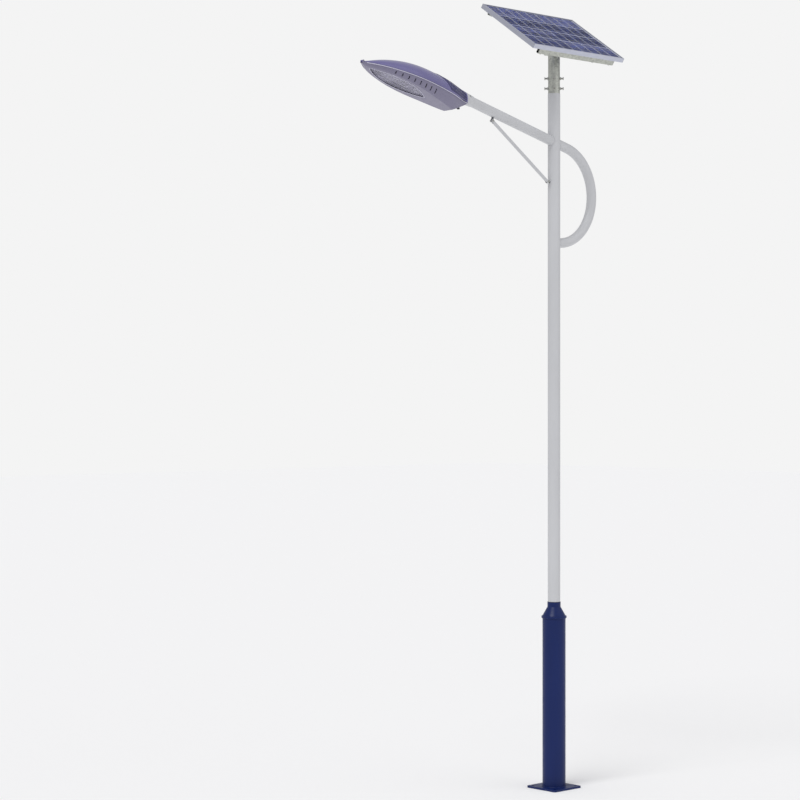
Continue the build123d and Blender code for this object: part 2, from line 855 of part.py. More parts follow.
def spigot_clamp():
    """Sleeve round the arm's end with a foot on the gear tray."""
    outer = arm_radius + slip_clearance + clamp_wall
    sleeve = arm_frame * along_x((-clamp_start - clamp_length, 0, 0)) * cylinder(outer, clamp_length)
    foot = head_frame * block(-clamp_start - clamp_length, -clamp_start, -30, 30,
                              tray_top(), rim_drop - arm_radius / 2)
    clamp = sleeve + foot
    clamp -= arm_solid(arm_radius + slip_clearance, neck_length)
    return clamp


def clamp_screws():
    """Two set screws under the clamp and two in the neck, up against the arm."""
    screws = []
    outer = arm_radius + slip_clearance + clamp_wall
    for x, length in ((-clamp_start - clamp_length / 2, 0), (neck_length * 0.45, 6)):
        for angle in (60, -60):
            frame = arm_frame * Pos(x, 0, 0) * Rot(angle, 0, 0)
            head_foot = outer + (1.5 if length else 0)
            shank = Pos(0, 0, arm_radius + slip_clearance) * cylinder(clamp_screw_radius, head_foot - arm_radius)
            screw = shank + Pos(0, 0, head_foot) * hexagon(12, 5)
            screws.append(frame * screw)
    return screws


def drill_screws(target):
    """Take the clamp screws' holes out of the piece they go through."""
    for screw in clamp_screws():
        target -= screw
    return target


def cover_gasket():
    ring = extrude(plan_outline(0), gasket_thickness)
    ring -= extrude(plan_outline(-gasket_width), gasket_thickness)
    return head_frame * ring


def gear_tray():
    """Flat tray across the back half of the housing, between the rim's flanges."""
    edge = []
    for share, width in tray_stations:
        place = tray_start + share * (tray_end - tray_start)
        edge.append((-place, width * head_half_width - rim_flange_width))
    outline = edge + [(x, -y) for x, y in reversed(edge)]
    face = make_face(Polyline(*outline, close=True))
    return head_frame * Pos(0, 0, -tray_drop) * extrude(face, tray_thickness, dir=(0, 0, 1))


def tray_top():
    return -tray_drop + tray_thickness


def led_driver():
    length, width, height = driver_size
    case = block(-driver_start - length, -driver_start, -width / 2, width / 2, tray_top(), tray_top() + height)
    case = fillet(case.edges().filter_by(Axis.X), 5)
    return head_frame * case


def terminal_block():
    length, width, height = block_size
    body = block(-block_start - length, -block_start, -width / 2, width / 2, tray_top(), tray_top() + height)
    for step in range(5):
        y = (step - 2) * width / 5
        body -= Pos(-block_start - length / 2, y, tray_top() + height - 6) * cylinder(3.5, 6)
    return head_frame * body


def window_layer(outer, inner, z0, height):
    face = extrude(window_face(outer), height)
    if inner is not None:
        face -= extrude(window_face(inner), height)
    return head_frame * floor_frame() * Pos(0, 0, z0) * face


def window_gasket_ring():
    return window_layer(window_lap, 0, head_wall, window_gasket)


def window_glass():
    return window_layer(window_lap, None, head_wall + window_gasket, glass_thickness)


def retainer_foot():
    return head_wall + window_gasket + glass_thickness


def window_retainer():
    return window_layer(window_lap, -retainer_lip, retainer_foot(), retainer_thickness)


def sink_face(half_length, half_width):
    """Oblong with a pointed end each way."""
    shoulder = half_length - sink_point
    return make_face(Polyline(
        (-half_length, 0), (-shoulder, half_width), (shoulder, half_width),
        (half_length, 0), (shoulder, -half_width), (-shoulder, -half_width), close=True))


def led_heat_sink():
    """Plate with fins above and four posts down to the window's retainer."""
    half = sink_length / 2
    sink = Pos(0, 0, sink_height) * extrude(sink_face(half, sink_half_width), sink_plate)
    fin_length = sink_length - 2 * sink_point
    fin_pitch = 2 * (sink_half_width - fin_thickness) / (fin_count - 1)
    for step in range(fin_count):
        y = (step - (fin_count - 1) / 2) * fin_pitch
        sink += block(-fin_length / 2, fin_length / 2, y - fin_thickness / 2, y + fin_thickness / 2,
                      sink_height + sink_plate, sink_height + sink_plate + fin_height)
    foot = retainer_foot() + retainer_thickness
    for x, y in sink_posts():
        sink += Pos(x, y, foot) * cylinder(sink_post_radius, sink_height - foot)
        arm_low, arm_high = sorted((y, y * (1 - 4 * sink_post_radius / abs(y))))
        sink += block(x - sink_post_radius, x + sink_post_radius, arm_low, arm_high,
                      sink_height, sink_height + sink_plate)
        sink += Pos(x, y, sink_height) * cylinder(sink_post_radius, sink_plate)
    return head_frame * floor_frame() * sink


def sink_posts():
    """Post places on the middle of the retainer's band."""
    x = sink_length / 2 - sink_point - 3 * sink_post_radius
    half = window_length / 2
    radius = (half ** 2 + window_half_width ** 2) / (2 * window_half_width)
    band = (window_lap - retainer_lip) / 2
    y = sqrt((radius + band) ** 2 - x ** 2) - (radius - window_half_width)
    return [(sx * x, sy * y) for sx in (-1, 1) for sy in (-1, 1)]


def led_board():
    face = sink_face(sink_length / 2 - 14, sink_half_width - 8)
    return head_frame * floor_frame() * Pos(0, 0, sink_height - board_thickness) * extrude(face, board_thickness)


def led_lenses():
    """Domed lenses under the board, one for each light source."""
    foot = sink_height - board_thickness
    ball_radius = (lens_radius ** 2 + lens_height ** 2) / (2 * lens_height)
    ball = Pos(0, 0, ball_radius - lens_height) * Sphere(ball_radius)
    lens = ball & Pos(0, 0, -lens_height) * cylinder(2 * lens_radius, lens_height)
    return [head_frame * floor_frame() * Pos(0, 0, foot) * spot * lens
            for spot in GridLocations(lens_pitch, lens_row_pitch, lens_columns, lens_rows)]


def top_cover():
    """Domed cover, open at its back, hinged at the nose, with a keeper for the latch."""
    foot = cover_foot()
    shell = head_loft(1, 0, foot=foot)
    shell -= head_loft(1, head_wall, foot=foot, end=4 * head_wall)
    tongue = block(-head_length - nose_pin_reach, -head_length + 14,
                   -nose_eye_length / 2, nose_eye_length / 2, foot, nose_pin_rise + 2)
    tongue += nose_pin_frame() * Pos(0, 0, -nose_eye_length / 2) * cylinder(nose_eye_radius, nose_eye_length)
    shell += tongue
    shell -= nose_bore(2 * nose_eye_length)
    return head_frame * (shell + keeper())


def keeper():
    """Hook inside the cover: a leg down past the rim and a foot under the latch's tongue."""
    x0 = -latch_reach - keeper_width / 2
    x1 = -latch_reach + keeper_width / 2
    foot_top = -latch_tongue_drop - latch_tongue_thickness - turn_clearance
    leg = block(x0, x1, keeper_leg, keeper_leg + keeper_foot, foot_top, keeper_bridge)
    foot = block(x0, x1, keeper_reach, keeper_leg + keeper_foot, foot_top - keeper_foot, foot_top)
    bridge = block(x0, x1, keeper_leg, head_half_width, keeper_bridge / 2, keeper_bridge)
    bridge &= head_loft(1, head_wall / 2)
    return leg + foot + bridge


def cover_hinge_pin():
    half = nose_eye_length / 2 + turn_clearance + 7
    pin = nose_pin_frame() * Pos(0, 0, -half) * cylinder(nose_pin_radius, 2 * half)
    return head_frame * pin


def latch_knob():
    """Turn latch: tongue inside, shaft through the heel and a knob below."""
    top = -latch_tongue_drop
    tongue_foot = top - latch_tongue_thickness
    knob_top = -(heel_depth + heel_slope * (latch_reach + latch_knob_radius)) - 2
    latch = Pos(0, 0, knob_top) * cylinder(latch_shaft_radius, top - knob_top)
    latch += block(-latch_tongue_length, 0, -latch_tongue_width / 2, latch_tongue_width / 2, tongue_foot, top)
    latch += Pos(0, 0, tongue_foot) * cylinder(latch_tongue_width, latch_tongue_thickness)
    knob = Pos(0, 0, knob_top - latch_knob_height) * cylinder(latch_knob_radius, latch_knob_height)
    knob = fillet(knob.edges().sort_by(Axis.Z)[0], 3)
    for turn in range(8):
        knob -= Rot(0, 0, turn * 45) * Pos(latch_knob_radius + 1, 0, knob_top - latch_knob_height) * cylinder(
            3, latch_knob_height)
    return head_frame * latch_frame() * (latch + knob)


# ================================================================ panel mount
def bolt_frames():
    """Frames of the eight set bolts, Z running outwards."""
    frames = []
    for height in set_bolt_rows:
        for quarter in range(4):
            frames.append(Pos(0, 0, sleeve_foot + height) * Rot(0, 0, 45 + 90 * quarter) * Rot(0, 90, 0))
    return frames


def panel_sleeve():
    sleeve = Pos(0, 0, sleeve_foot) * tube(sleeve_radius, sleeve_wall, sleeve_height)
    for frame in bolt_frames():
        sleeve -= frame * cylinder(set_bolt_radius + slip_clearance, 2 * sleeve_radius)
    return sleeve


def sleeve_nuts():
    round_face = Pos(0, 0, sleeve_foot) * cylinder(sleeve_radius, sleeve_height)
    nuts = []
    for frame in bolt_frames():
        nut = hexagon(nut_flat, nut_height + 3) - cylinder(set_bolt_radius + slip_clearance, nut_height + 3)
        nuts.append(frame * Pos(0, 0, sleeve_radius - 3) * nut - round_face)
    return nuts


def sleeve_set_bolts():
    tip = tenon_radius + turn_clearance
    outer = sleeve_radius + set_bolt_reach
    shank = Pos(0, 0, tip) * cylinder(set_bolt_radius, outer - tip - head_height / 2)
    head = Pos(0, 0, outer - head_height) * hexagon(nut_flat, head_height)
    return [frame * (shank + head) for frame in bolt_frames()]


def cheek_places():
    """Inner and outer faces of the two yoke cheeks along X."""
    inner = yoke_inner_gap / 2
    outer = inner + yoke_cheek_thickness
    return (-outer, -inner), (inner, outer)


def lock_slot():
    """Round slot that the lock bolt travels in, in the cheek's YZ plane."""
    half = lock_bolt_radius + lock_slot_clearance
    steps = 12
    cutter = None
    for step in range(steps + 1):
        angle = radians(180 + panel_tilt - tilt_down + step * (tilt_up + tilt_down) / steps)
        y = lock_slot_radius * cos(angle)
        z = lock_slot_radius * sin(angle)
        spot = along_x((-yoke_inner_gap, y, z)) * cylinder(half, 2 * yoke_inner_gap)
        cutter = spot if cutter is None else cutter + spot
    return cutter


def tilt_yoke():
    """Top plate on the sleeve with two upright cheeks for the tilt axis."""
    half = yoke_plate_side / 2
    yoke = block(-half, half, -half, half, 0, yoke_plate_thickness)
    yoke -= cylinder(sleeve_radius / 2, yoke_plate_thickness)
    for low, high in cheek_places():
        yoke += block(low, high, -yoke_half_depth, yoke_half_depth, yoke_plate_thickness / 2,
                      pivot_height + yoke_rise)
    reach = yoke_plate_side
    yoke -= along_x((-reach, 0, pivot_height)) * cylinder(pivot_bolt_radius + pin_clearance, 2 * reach)
    yoke -= Pos(0, 0, pivot_height) * lock_slot()
    return Pos(0, 0, sleeve_top) * yoke


def side_bolt(radius, start, end, flat, thick):
    """Bolt along +X with its head beyond the end and its nut before the start."""
    shank = along_x((start - 1.5 * thick, 0, 0)) * cylinder(radius, end - start + 1.5 * thick)
    head = along_x((end, 0, 0)) * hexagon(flat, thick)
    nut = along_x((start - thick, 0, 0)) * (hexagon(flat, thick) - cylinder(radius, thick))
    return shank + head, nut


def grip():
    """Inner face of the cheek and outer face of the ear."""
    inner = yoke_inner_gap / 2
    return inner, inner + yoke_cheek_thickness + turn_clearance + ear_thickness


def tilt_pivot_bolts():
    start, end = grip()
    pieces = []
    for turn in (0, 180):
        for piece in side_bolt(pivot_bolt_radius, start, end + turn_clearance, nut_flat, head_height):
            pieces.append(Pos(0, 0, pivot_z) * Rot(0, 0, turn) * piece)
    return pieces


# ================================================================ solar panel
# Both frames have X along the panel, Y up its slope and Z square to it. The tilt
# frame starts on the tilt axis and the panel frame under the panel's middle.
def lock_bolt_spot():
    """Lock bolt's place on the ears: level with the pivot towards -Y at rest."""
    return -lock_slot_radius, 0


def tilt_lock_bolts():
    start, end = grip()
    spot_y, spot_z = lock_bolt_spot()
    pieces = []
    for turn in (0, 180):
        for piece in side_bolt(lock_bolt_radius, start - turn_clearance, end, nut_flat - 2, head_height):
            turned = Rot(0, 0, turn) * Pos(0, spot_y if turn == 0 else -spot_y, spot_z) * piece
            pieces.append(tilt_frame * turned)
    return pieces


def tilt_ears():
    start, end = grip()
    spot_y, spot_z = lock_bolt_spot()
    top = panel_rise - 1
    ears = []
    for side in (-1, 1):
        x0, x1 = sorted((side * (end - ear_thickness), side * end))
        ear = block(x0, x1, -ear_half_length, ear_half_length, -ear_drop, top)
        for edge in (-1, 1):
            corner = Pos(0, edge * ear_half_length, -ear_drop) * Rot(45, 0, 0)
            ear -= corner * Box(4 * end, ear_drop * 1.2, ear_drop * 1.2)
        ear -= along_x((x0, 0, 0)) * cylinder(pivot_bolt_radius + pin_clearance, ear_thickness)
        ear -= along_x((x0, spot_y, spot_z)) * cylinder(lock_bolt_radius + pin_clearance, ear_thickness)
        ears.append(tilt_frame * ear)
    return ears


def hollow_bar(x0, x1, y0, y1, z0, z1, axis):
    """Rectangular tube, open at both ends along the given axis (0 for X, 1 for Y)."""
    bar = block(x0, x1, y0, y1, z0, z1)
    w = rail_wall
    if axis == 0:
        return bar - block(x0, x1, y0 + w, y1 - w, z0 + w, z1 - w)
    return bar - block(x0 + w, x1 - w, y0, y1, z0 + w, z1 - w)


def mounting_rails():
    """Two rails under the frame's long sides."""
    outer = panel_width / 2 - rail_inset
    rails = []
    for side in (-1, 1):
        y0, y1 = sorted((side * outer, side * (outer - rail_width)))
        rails.append(panel_frame * hollow_bar(-rail_length / 2, rail_length / 2, y0, y1,
                                              panel_rise - rail_height, panel_rise, 0))
    return rails


def cross_beams():
    """Two beams between the rails, against the ears' outer faces."""
    end = grip()[1]
    reach = panel_width / 2 - rail_inset - rail_width
    beams = []
    for side in (-1, 1):
        x0, x1 = sorted((side * end, side * (end + rail_width)))
        beams.append(panel_frame * hollow_bar(x0, x1, -reach, reach, panel_rise - rail_height, panel_rise, 1))
    return beams


def frame_ring():
    """Whole frame before its mitres: outer wall, top lip and bottom flange."""
    half_x, half_y = panel_length / 2, panel_width / 2
    foot, top = panel_rise, panel_rise + panel_depth
    ring = block(-half_x, half_x, -half_y, half_y, foot, top)
    wx, wy = half_x - frame_wall, half_y - frame_wall
    ring -= block(-wx, wx, -wy, wy, foot + flange_thickness, top - lip_thickness)
    lx, ly = half_x - frame_lip, half_y - frame_lip
    ring -= block(-lx, lx, -ly, ly, top - lip_thickness, top)
    fx, fy = half_x - frame_flange, half_y - frame_flange
    ring -= block(-fx, fx, -fy, fy, foot, foot + flange_thickness)
    shelf_top = top - lip_thickness - laminate_thickness()
    shelf = block(-wx, wx, -wy, wy, shelf_top - flange_thickness, shelf_top)
    return ring + (shelf - block(-lx, lx, -ly, ly, shelf_top - flange_thickness, shelf_top))


def laminate_thickness():
    return panel_glass_thickness + cell_thickness + backsheet_thickness


def mitre(side_long):
    """Prisms that keep two opposite sides of the frame, cut at 45 degrees."""
    half_x, half_y = panel_length / 2, panel_width / 2
    reach = half_y
    keep = []
    for side in (-1, 1):
        if side_long:
            face = make_face(Polyline((-half_x, side * half_y), (half_x, side * half_y),
                                      (half_x - reach, 0), (-half_x + reach, 0), close=True))
        else:
            face = make_face(Polyline((side * half_x, -half_y), (side * half_x, half_y),
                                      (side * (half_x - reach), 0), close=True))
        keep.append(Pos(0, 0, panel_rise) * extrude(face, panel_depth))
    return keep


def frame_sides(side_long):
    ring = frame_ring()
    return [panel_frame * (ring & keep) for keep in mitre(side_long)]


def sheet(z0, thickness, inset):
    half_x = panel_length / 2 - frame_wall - inset
    half_y = panel_width / 2 - frame_wall - inset
    return panel_frame * block(-half_x, half_x, -half_y, half_y, z0, z0 + thickness)


def glass_foot():
    return panel_rise + panel_depth - lip_thickness - panel_glass_thickness


def panel_glass():
    return sheet(glass_foot(), panel_glass_thickness, glass_edge_gap)


def panel_backsheet():
    return sheet(glass_foot() - cell_thickness - backsheet_thickness, backsheet_thickness, glass_edge_gap)


def solar_cells():
    z0 = glass_foot() - cell_thickness
    grid = GridLocations(cell_length + cell_gap, cell_width + cell_gap, cell_columns, cell_rows)
    cell = Pos(0, 0, z0 + cell_thickness / 2) * Box(cell_length, cell_width, cell_thickness)
    return [panel_frame * spot * cell for spot in grid]


def box_top():
    return glass_foot() - cell_thickness - backsheet_thickness


def box_place():
    return Pos(0, panel_width / 2 - box_inset, 0)


def junction_box():
    length, width, height = box_size
    top = box_top()
    case = block(-length / 2, length / 2, -width / 2, width / 2, top - height, top)
    case = fillet(case.edges().filter_by(Axis.Z), 5)
    return panel_frame * box_place() * case


def junction_box_lid():
    length, width, height = box_size
    top = box_top() - height
    lid = block(-length / 2 - 1.5, length / 2 + 1.5, -width / 2 - 1.5, width / 2 + 1.5, top - box_lid_height, top)
    lid = fillet(lid.edges().filter_by(Axis.Z), 6)
    return panel_frame * box_place() * chamfer(lid.faces().sort_by(Axis.Z)[0].edges(), 1.5)


def junction_box_glands():
    length, width, height = box_size
    z = box_top() - height / 2
    glands = []
    for x in (-length / 4, length / 4):
        gland = Rot(90, 0, 0) * (cylinder(gland_radius * 0.7, gland_length) + hexagon(1.6 * gland_radius, 7))
        gland -= Rot(90, 0, 0) * cylinder(gland_radius * 0.4, gland_length)
        glands.append(panel_frame * box_place() * Pos(x, -width / 2, z) * gland)
    return glands


def main():
    os.makedirs("parts", exist_ok=True)
    write("base_plate", base_plate())
    write("base_tube", base_tube())
    write("base_collar", base_collar())
    write("upper_pole", upper_pole())
    write("pole_centring_ring", pole_centring_ring())
    write("pole_tenon", pole_tenon())
    write("light_arm", light_arm())
    write("arm_loop", arm_loop())
    write("brace_rod", brace_rod())
    write("brace_lugs", *brace_lugs())
    write("brace_bolts", *brace_bolts())
    write("hatch_frame", hatch_frame())
    write("hatch_hinge_fixed", *hatch_hinge_fixed())
    write("hatch_hinge_pins", *hatch_hinge_pins())
    write("hatch_door", hatch_door())
    write("lock_barrel", lock_barrel())
    write("lock_cam", lock_cam())
    write("battery_stand", battery_stand())
    write("battery_case", battery_case())
    write("battery_lid", battery_lid())
    write("battery_terminals", *battery_terminals())
    write("controller_bracket", controller_bracket())
    write("charge_controller", charge_controller())
    write("earth_stud", *earth_stud())
    write("lower_housing", lower_housing())
    write("rear_bulkhead", rear_bulkhead())
    write("arm_neck", drill_screws(arm_neck()))
    write("spigot_clamp", drill_screws(spigot_clamp()))
    write("clamp_screws", *clamp_screws())
    write("cover_gasket", cover_gasket())
    write("gear_tray", gear_tray())
    write("led_driver", led_driver())
    write("terminal_block", terminal_block())
    write("window_gasket", window_gasket_ring())
    write("window_glass", window_glass())
    write("window_retainer", window_retainer())
    write("led_heat_sink", led_heat_sink())
    write("led_board", led_board())
    write("led_lenses", *led_lenses())
    write("top_cover", top_cover())
    write("cover_hinge_pin", cover_hinge_pin())
    write("latch_knob", latch_knob())
    write("panel_sleeve", panel_sleeve())
    write("sleeve_nuts", *sleeve_nuts())
    write("sleeve_set_bolts", *sleeve_set_bolts())
    write("tilt_yoke", tilt_yoke())
    write("tilt_pivot_bolts", *tilt_pivot_bolts())
    write("tilt_lock_bolts", *tilt_lock_bolts())
    write("tilt_ears", *tilt_ears())
    write("mounting_rails", *mounting_rails())
    write("cross_beams", *cross_beams())
    write("frame_long_sides", *frame_sides(True))
    write("frame_short_sides", *frame_sides(False))
    write("panel_glass", panel_glass())
    write("solar_cells", *solar_cells())
    write("panel_backsheet", panel_backsheet())
    write("junction_box", junction_box())
    write("junction_box_lid", junction_box_lid())
    write("junction_box_glands", *junction_box_glands())


main()
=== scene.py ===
import json
import math
import random

import bpy
from mathutils import Matrix, Vector
from mathutils.bvhtree import BVHTree


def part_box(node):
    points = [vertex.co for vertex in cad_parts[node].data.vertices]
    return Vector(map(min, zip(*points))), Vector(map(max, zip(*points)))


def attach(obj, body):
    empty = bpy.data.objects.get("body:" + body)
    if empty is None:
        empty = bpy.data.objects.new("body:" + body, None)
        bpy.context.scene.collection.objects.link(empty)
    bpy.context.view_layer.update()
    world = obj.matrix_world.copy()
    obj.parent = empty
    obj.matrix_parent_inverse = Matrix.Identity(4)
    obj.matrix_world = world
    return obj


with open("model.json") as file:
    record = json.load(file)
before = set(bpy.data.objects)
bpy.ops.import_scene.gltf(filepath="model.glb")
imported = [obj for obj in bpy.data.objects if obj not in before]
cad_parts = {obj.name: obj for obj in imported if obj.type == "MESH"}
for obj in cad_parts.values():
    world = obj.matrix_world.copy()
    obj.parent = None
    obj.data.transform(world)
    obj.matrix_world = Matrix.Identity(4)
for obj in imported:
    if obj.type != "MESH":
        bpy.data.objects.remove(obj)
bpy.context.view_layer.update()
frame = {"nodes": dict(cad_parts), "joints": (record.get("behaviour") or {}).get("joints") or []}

bl_info = {
    "name": "Solar street lamp looks",
    "version": (1, 0, 0),
    "blender": (4, 5, 0),
    "location": "View3D > Sidebar > Lamp",
    "description": "Finishes and fine detail for a solar street lamp's frame",
    "category": "Object",
}

MM = 0.001
JOINTS = {joint["name"]: joint for joint in frame["joints"]}

# ------------------------------------------------------------------ places read from the frame
POLE_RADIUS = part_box("upper_pole")[1].x
POLE_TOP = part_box("upper_pole")[1].z
BASE_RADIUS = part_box("base_tube")[1].y
BASE_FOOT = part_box("base_plate")[1].z
COLLAR_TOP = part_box("base_collar")[1].z
ARM_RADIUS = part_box("arm_loop")[1].y
LOOP_FOOT_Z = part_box("arm_loop")[0].z + ARM_RADIUS
ARM_TILT = math.radians(14.1)
ARM_ROOT_Z = POLE_TOP - 377 * MM
PIVOT_Z = JOINTS["panel_tilt"]["pos_m"][2]
SLEEVE_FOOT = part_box("panel_sleeve")[0].z
SLEEVE_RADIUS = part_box("panel_sleeve")[1].x

HEAD_TILT = math.atan2(-JOINTS["latch_turn"]["axis"][0], -JOINTS["latch_turn"]["axis"][2])
HEAD_LENGTH = 1012 * MM
NOSE_PIN = Vector((-HEAD_LENGTH - 9 * MM, 0, 9 * MM))
HEAD_TURN = Matrix.Rotation(HEAD_TILT, 4, "Y")
HEAD = Matrix.Translation(Vector(JOINTS["cover_lift"]["pos_m"]) - HEAD_TURN @ NOSE_PIN) @ HEAD_TURN
FLOOR_START = 130 * MM   # from the head's back to where its flat floor begins
FLOOR_DEPTH = 92 * MM    # of the floor there, below the cover's joint
FLOOR_SLOPE = 0.083      # how fast it rises towards the nose
WINDOW_MIDDLE = 665 * MM
WINDOW_HALF_LENGTH, WINDOW_HALF_WIDTH = 285 * MM, 100 * MM
WINDOW_DEPTH = FLOOR_DEPTH - (WINDOW_MIDDLE - FLOOR_START) * FLOOR_SLOPE
FLOOR = (HEAD @ Matrix.Translation((-WINDOW_MIDDLE, 0, -WINDOW_DEPTH))
         @ Matrix.Rotation(math.atan(FLOOR_SLOPE), 4, "Y"))
BOARD_FACE = 24.4 * MM
LED_COLUMNS, LED_PITCH = 12, 20 * MM
LED_ROWS, LED_ROW_PITCH = 4, 26 * MM
BOARD_OUTLINE = [(x * MM, y * MM) for x, y in ((175, 0), (113, 70), (-113, 70),
                                               (-175, 0), (-113, -70), (113, -70))]
DOOR_HALF_ANGLE = math.radians(38)
PANEL_HALF_LENGTH, PANEL_HALF_WIDTH, PANEL_DEPTH = 510 * MM, 335 * MM, 35 * MM
FRAME_LIP = 1.5 * MM     # frame above the glass
GLASS = 3.2 * MM
CELL_TOP = PANEL_DEPTH - FRAME_LIP - GLASS
CELL_COLUMNS, CELL_PITCH = 9, 107 * MM
CELL_ROWS, CELL_ROW_PITCH = 4, 159 * MM
CELLS_HALF_LENGTH, CELLS_HALF_WIDTH = 480 * MM, 318 * MM
PANEL_TILT = math.radians(34.4)
PANEL = (Matrix.Translation((0, 0, PIVOT_Z)) @ Matrix.Rotation(PANEL_TILT, 4, "X")
         @ Matrix.Translation((0, 64 * MM, 61.5 * MM)))

CAMERA_TURN = -43        # degrees round the lamp
CAMERA_REACH = 16.5      # metres from the pole
CAMERA_SHIFT = 1.2       # metres to the left, towards the arm
CAMERA_HEIGHT = 3.02     # metres, about half the lamp's height
CAMERA_LENS = 95.3


def centred(index, count, pitch):
    """Place of one of several things spaced evenly about the middle."""
    return (index - (count - 1) / 2) * pitch


def linear(text):
    """Linear colour of an sRGB hex value."""
    parts = [int(text[i:i + 2], 16) / 255 for i in (1, 3, 5)]
    return tuple(p / 12.92 if p <= 0.04045 else ((p + 0.055) / 1.055) ** 2.4 for p in parts)


# ------------------------------------------------------------------ what a user can change
def length_of(name, about, millimetres):
    return bpy.props.FloatProperty(name=name, description=about, default=millimetres * MM, unit="LENGTH")


def colour_of(name, about, text):
    return bpy.props.FloatVectorProperty(name=name, description=about, default=linear(text),
                                         subtype="COLOR", size=3, min=0, max=1)


class LampColours(bpy.types.PropertyGroup):
    post: colour_of("Post", "Gloss powder coat of the thick base tube", "#12245B")
    pole: colour_of("Pole", "Satin powder coat of the pole, arm and loop", "#C9CACD")
    cover: colour_of("Cover", "Enamel of the lamp head's top", "#6B6699")
    # cover back: the cover's enamel much darker, painted shade on the ribbed pad at the cover's back
    cover_back_shade: colour_of("Cover back", "Enamel of the ribbed pad at the cover's back", "#2B2760")
    housing: colour_of("Housing", "Enamel of the lamp head's underside", "#7C7891")
    cell: colour_of("Cells", "Main blue of the silicon crystals", "#0E1C66")
    cell_light: colour_of("Light crystals", "Lightest blue of the silicon crystals", "#2C44A0")
    backdrop: colour_of("Backdrop", "Plain colour behind the lamp", "#F4F4F4")


class LampSizes(bpy.types.PropertyGroup):
    weld: length_of("Weld bead", "Radius of the weld beads on the pole", 2.6)
    ripple: length_of("Weld ripple", "Distance between two ripples of a weld", 5.0)
    seal: length_of("Seal", "Radius of the rubber cord round the hatch", 1.1)
    rim_bead: length_of("Rim bead", "Radius of the rolled edge round the lamp head", 2.6)
    rib_height: length_of("Cover rib", "Height of the ribs on the cover's back", 3.0)
    bezel: length_of("Window bezel", "Radius of the rolled edge round the window", 2.4)
    chip: length_of("Light chip", "Side of one light source", 5.0)
    busbar: length_of("Busbar", "Width of the silver strips on the cells", 3.0)
    gap_film: length_of("Gap film", "Width of the white film that shows between the cells", 6.0)
    pitch: length_of("Thread pitch", "Pitch of the set bolts' thread, drawn coarse so that it shows", 1.75)
    rib_count: bpy.props.IntProperty(name="Cover ribs", description="Ribs on the cover's back", default=9)


def colours():
    return bpy.context.scene.lamp_colours


def sizes():
    return bpy.context.scene.lamp_sizes


# ------------------------------------------------------------------ meshes
def piece(name, verts, faces, recipe, body, slot, crease=35):
    """A new mesh that rides on a body, smooth except where it turns sharply."""
    mesh = bpy.data.meshes.new(name)
    mesh.from_pydata([tuple(v) for v in verts], [], faces)
    mesh.validate()
    mesh.shade_smooth()
    mesh.set_sharp_from_angle(angle=math.radians(crease))
    thing = bpy.data.objects.new(name, mesh)
    bpy.context.scene.collection.objects.link(thing)
    mesh.materials.append(finish_of(recipe))
    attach(thing, body)


def joined(parts):
    """Several (verts, faces) lists as one."""
    verts, faces = [], []
    for part_verts, part_faces in parts:
        start = len(verts)
        verts += part_verts
        faces += [[start + i for i in face] for face in part_faces]
    return verts, faces


def moved(part, place):
    return [place @ Vector(v) for v in part[0]], part[1]


def grid_faces(rows, columns, close_rows=False, close_columns=False):
    faces = []
    for r in range(rows if close_rows else rows - 1):
        for c in range(columns if close_columns else columns - 1):
            a, b = r * columns + c, r * columns + (c + 1) % columns
            below = ((r + 1) % rows) * columns
            faces.append([a, b, below + (c + 1) % columns, below + c])
    return faces


def bead(points, radius, sides=8, closed=False, ripple=None):
    """Round bead along points; ripple gives each ring's radius from its distance."""
    points = [Vector(p) for p in points]
    count = len(points)
    verts, travelled = [], 0.0
    across = None
    for i, here in enumerate(points):
        before = points[i - 1] if i or closed else here
        after = points[(i + 1) % count] if i < count - 1 or closed else here
        run = (after - before).normalized()
        if across is None:
            across = run.orthogonal().normalized()
        across = (across - run * across.dot(run)).normalized()
        up = run.cross(across)
        travelled += (here - points[i - 1]).length if i else 0
        size = radius * (ripple(travelled) if ripple else 1)
        for s in range(sides):
            turn = 2 * math.pi * s / sides
            verts.append(here + size * (math.cos(turn) * across + math.sin(turn) * up))
    faces = grid_faces(count, sides, close_rows=closed, close_columns=True)
    if not closed:
        faces += [list(range(sides))[::-1], [(count - 1) * sides + s for s in range(sides)]]
    return verts, faces


def lathe(profile, steps=32):
    """Closed ring turned about Z from (radius, height) corners."""
    verts = []
    for i in range(steps):
        turn = 2 * math.pi * i / steps
        verts += [Vector((r * math.cos(turn), r * math.sin(turn), z)) for r, z in profile]
    return verts, grid_faces(steps, len(profile), close_rows=True, close_columns=True)


def washer(inner, outer, thick):
    """Flat ring with softened edges."""
    soft = thick * 0.3
    return lathe([(inner, soft), (inner + soft, 0), (outer - soft, 0), (outer, soft),
                  (outer, thick - soft), (outer - soft, thick), (inner + soft, thick), (inner, thick - soft)])


def pad(half_x, half_y, height, soft):
    """Low block with sloped shoulders and cut corners, standing on Z = 0."""
    def ring(x, y, z):
        cut = min(x, y) * 0.25
        return [Vector(p) for p in ((x - cut, -y, z), (x, -y + cut, z), (x, y - cut, z), (x - cut, y, z),
                                    (-x + cut, y, z), (-x, y - cut, z), (-x, -y + cut, z), (-x + cut, -y, z))]
    verts = (ring(half_x, half_y, 0) + ring(half_x, half_y, height - soft)
             + ring(half_x - soft, half_y - soft, height))
    faces = grid_faces(3, 8, close_columns=True)
    return verts, faces + [list(range(8))[::-1], list(range(16, 24))]


